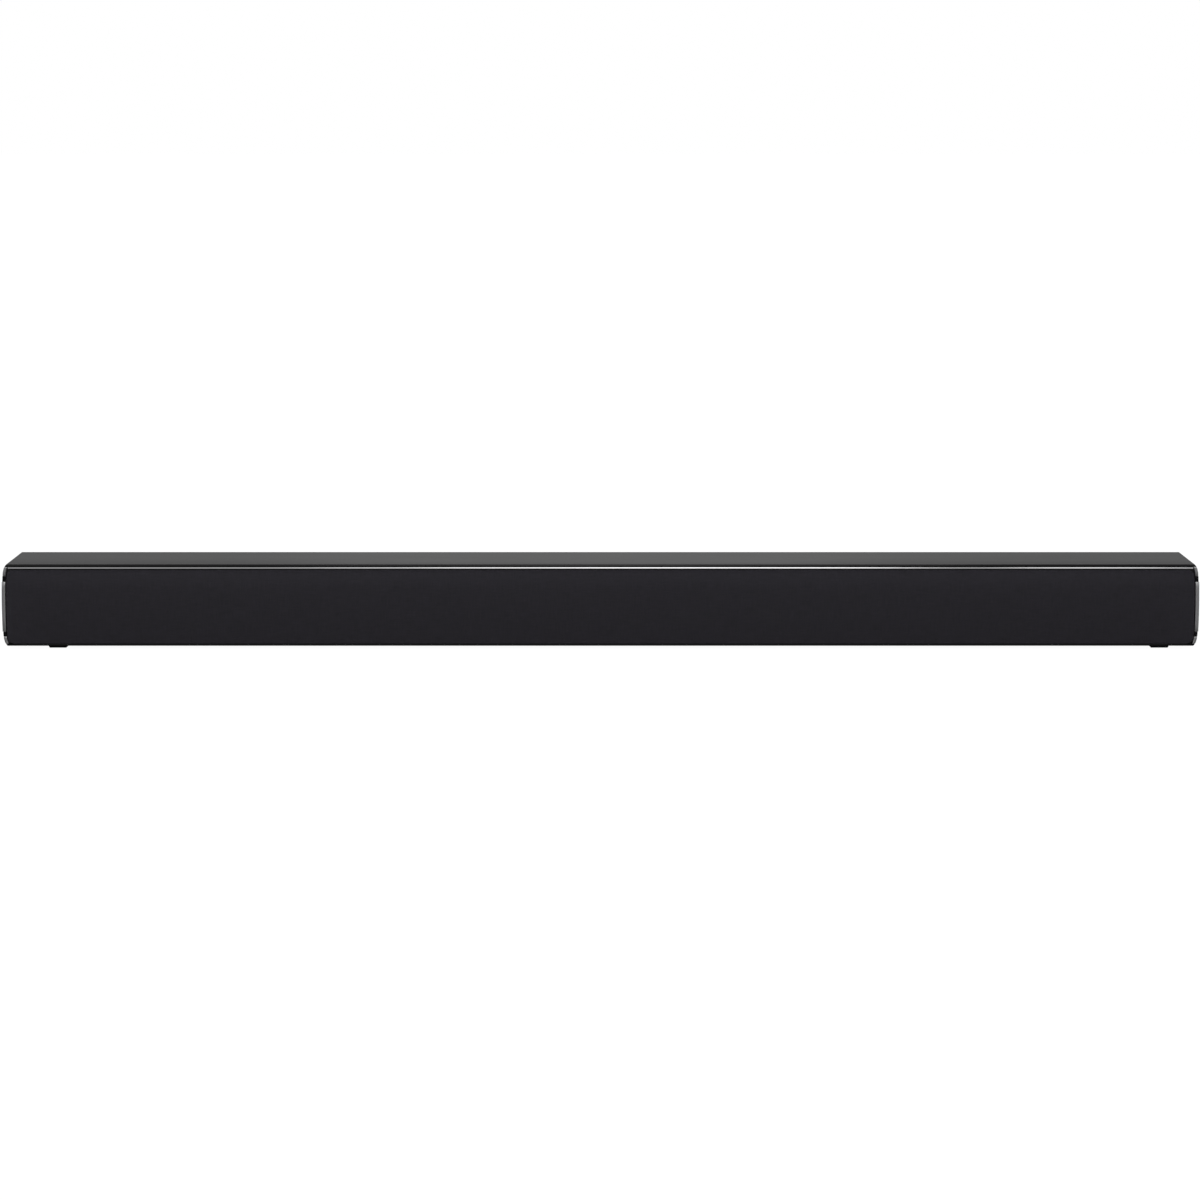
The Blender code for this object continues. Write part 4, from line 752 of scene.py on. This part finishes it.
def make_electronics():
    """The boards and what stands on them."""
    for board in ("main_board", "power_board", "sensor_board", "button_board"):
        softened(board, CIRCUIT, 0.00015)
    softened("heat_sink", ALUMINIUM, 0.0002)
    softened("transformer", WINDING, 0.0005, 3)
    softened("filter_capacitor", SLEEVE, 0.0008, 3)


make_cloth()
make_strip()
make_housings()
make_buttons()
make_case_screws()
make_keyhole_plates()
make_phono_jacks()
make_stereo_jack()
make_optical_socket()
make_mains_inlet()
make_drivers()
make_electronics()


# ---------------------------------------------------------------- studio


def mixed_shader(tree, share, first, second):
    """A Mix Shader of two shaders, by a share from 0 to 1."""
    mix = tree.nodes.new("ShaderNodeMixShader")
    for socket, source in zip(mix.inputs, (share, first, second)):
        tree.links.new(source, socket)
    return mix.outputs[0]


def make_floor():
    """A floor that looks pale, and lights what stands on it: dimly in front, brightly behind.

    It can't be seen from below.
    """
    shape = bmesh.new()
    bmesh.ops.create_grid(shape, x_segments=1, y_segments=1, size=30)
    bmesh.ops.translate(shape, vec=(0, 0, -FLOOR_DROP), verts=shape.verts)
    mesh = bpy.data.meshes.new("floor")
    shape.to_mesh(mesh)
    shape.free()
    floor = bpy.data.objects.new("floor", mesh)
    bpy.context.scene.collection.objects.link(floor)
    pale = bpy.data.materials.new("pale_floor")
    pale.use_nodes = True
    tree = pale.node_tree
    shader = tree.nodes["Principled BSDF"]
    shader.inputs["Base Color"].default_value = (0.14, 0.14, 0.14, 1)
    shader.inputs["Roughness"].default_value = 0.9
    shader.inputs["Specular IOR Level"].default_value = 0.0
    glow = tree.nodes.new("ShaderNodeEmission")
    glow.inputs["Strength"].default_value = FLOOR_GLOW
    lit = tree.nodes.new("ShaderNodeAddShader")
    tree.links.new(shader.outputs[0], lit.inputs[0])
    tree.links.new(glow.outputs[0], lit.inputs[1])

    bounce = tree.nodes.new("ShaderNodeBsdfDiffuse")
    place = tree.nodes.new("ShaderNodeTexCoord")
    parts = tree.nodes.new("ShaderNodeSeparateXYZ")
    depth = tree.nodes.new("ShaderNodeMapRange")
    depth.interpolation_type = "SMOOTHSTEP"
    depth.inputs["From Min"].default_value = -FLOOR_FADE
    depth.inputs["From Max"].default_value = FLOOR_FADE
    tree.links.new(place.outputs["Object"], parts.inputs[0])
    tree.links.new(parts.outputs["Y"], depth.inputs["Value"])
    shade = blended(tree, depth.outputs[0], (0.12, 0.12, 0.12), (0.70, 0.70, 0.70))
    tree.links.new(shade, bounce.inputs["Color"])

    path = tree.nodes.new("ShaderNodeLightPath")
    geometry = tree.nodes.new("ShaderNodeNewGeometry")
    clear = tree.nodes.new("ShaderNodeBsdfTransparent")
    above = mixed_shader(tree, path.outputs["Is Camera Ray"], bounce.outputs[0], lit.outputs[0])
    both = mixed_shader(tree, geometry.outputs["Backfacing"], above, clear.outputs[0])
    tree.links.new(both, tree.nodes["Material Output"].inputs["Surface"])
    mesh.materials.append(pale)


def make_room():
    """An even dim room, with a white background for the camera only."""
    world = bpy.data.worlds.new("studio")
    bpy.context.scene.world = world
    world.use_nodes = True
    tree = world.node_tree
    room = tree.nodes["Background"]
    room.inputs["Strength"].default_value = ROOM_LIGHT
    room.inputs["Color"].default_value = (1, 1, 1, 1)
    white = tree.nodes.new("ShaderNodeBackground")
    white.inputs["Color"].default_value = (1, 1, 1, 1)
    path = tree.nodes.new("ShaderNodeLightPath")
    seen = mixed_shader(tree, path.outputs["Is Camera Ray"], room.outputs[0], white.outputs[0])
    tree.links.new(seen, tree.nodes["World Output"].inputs["Surface"])


def make_lamps():
    """Soft lamps all round, unseen by the camera."""
    for name, place, aim, size, power in LAMPS:
        data = bpy.data.lights.new(name, "AREA")
        data.shape = "RECTANGLE"
        data.size, data.size_y = size
        data.energy = power
        lamp = bpy.data.objects.new(name, data)
        bpy.context.scene.collection.objects.link(lamp)
        lamp.location = place
        lamp.rotation_euler = (Vector(aim) - Vector(place)).to_track_quat("-Z", "Y").to_euler()
        lamp.visible_camera = False


def make_camera():
    """The camera, a little above the cabinet and far in front of it."""
    data = bpy.data.cameras.new("camera")
    data.sensor_width = 36
    data.lens = CAMERA_LENS
    data.clip_end = 100
    camera = bpy.data.objects.new("camera", data)
    bpy.context.scene.collection.objects.link(camera)
    camera.location = CAMERA_PLACE
    camera.rotation_euler = (math.radians(90 - CAMERA_DROP), 0, 0)
    bpy.context.scene.camera = camera


make_floor()
make_room()
make_lamps()
make_camera()
bpy.context.scene.view_settings.view_transform = "Standard"

bpy.context.view_layer.update()
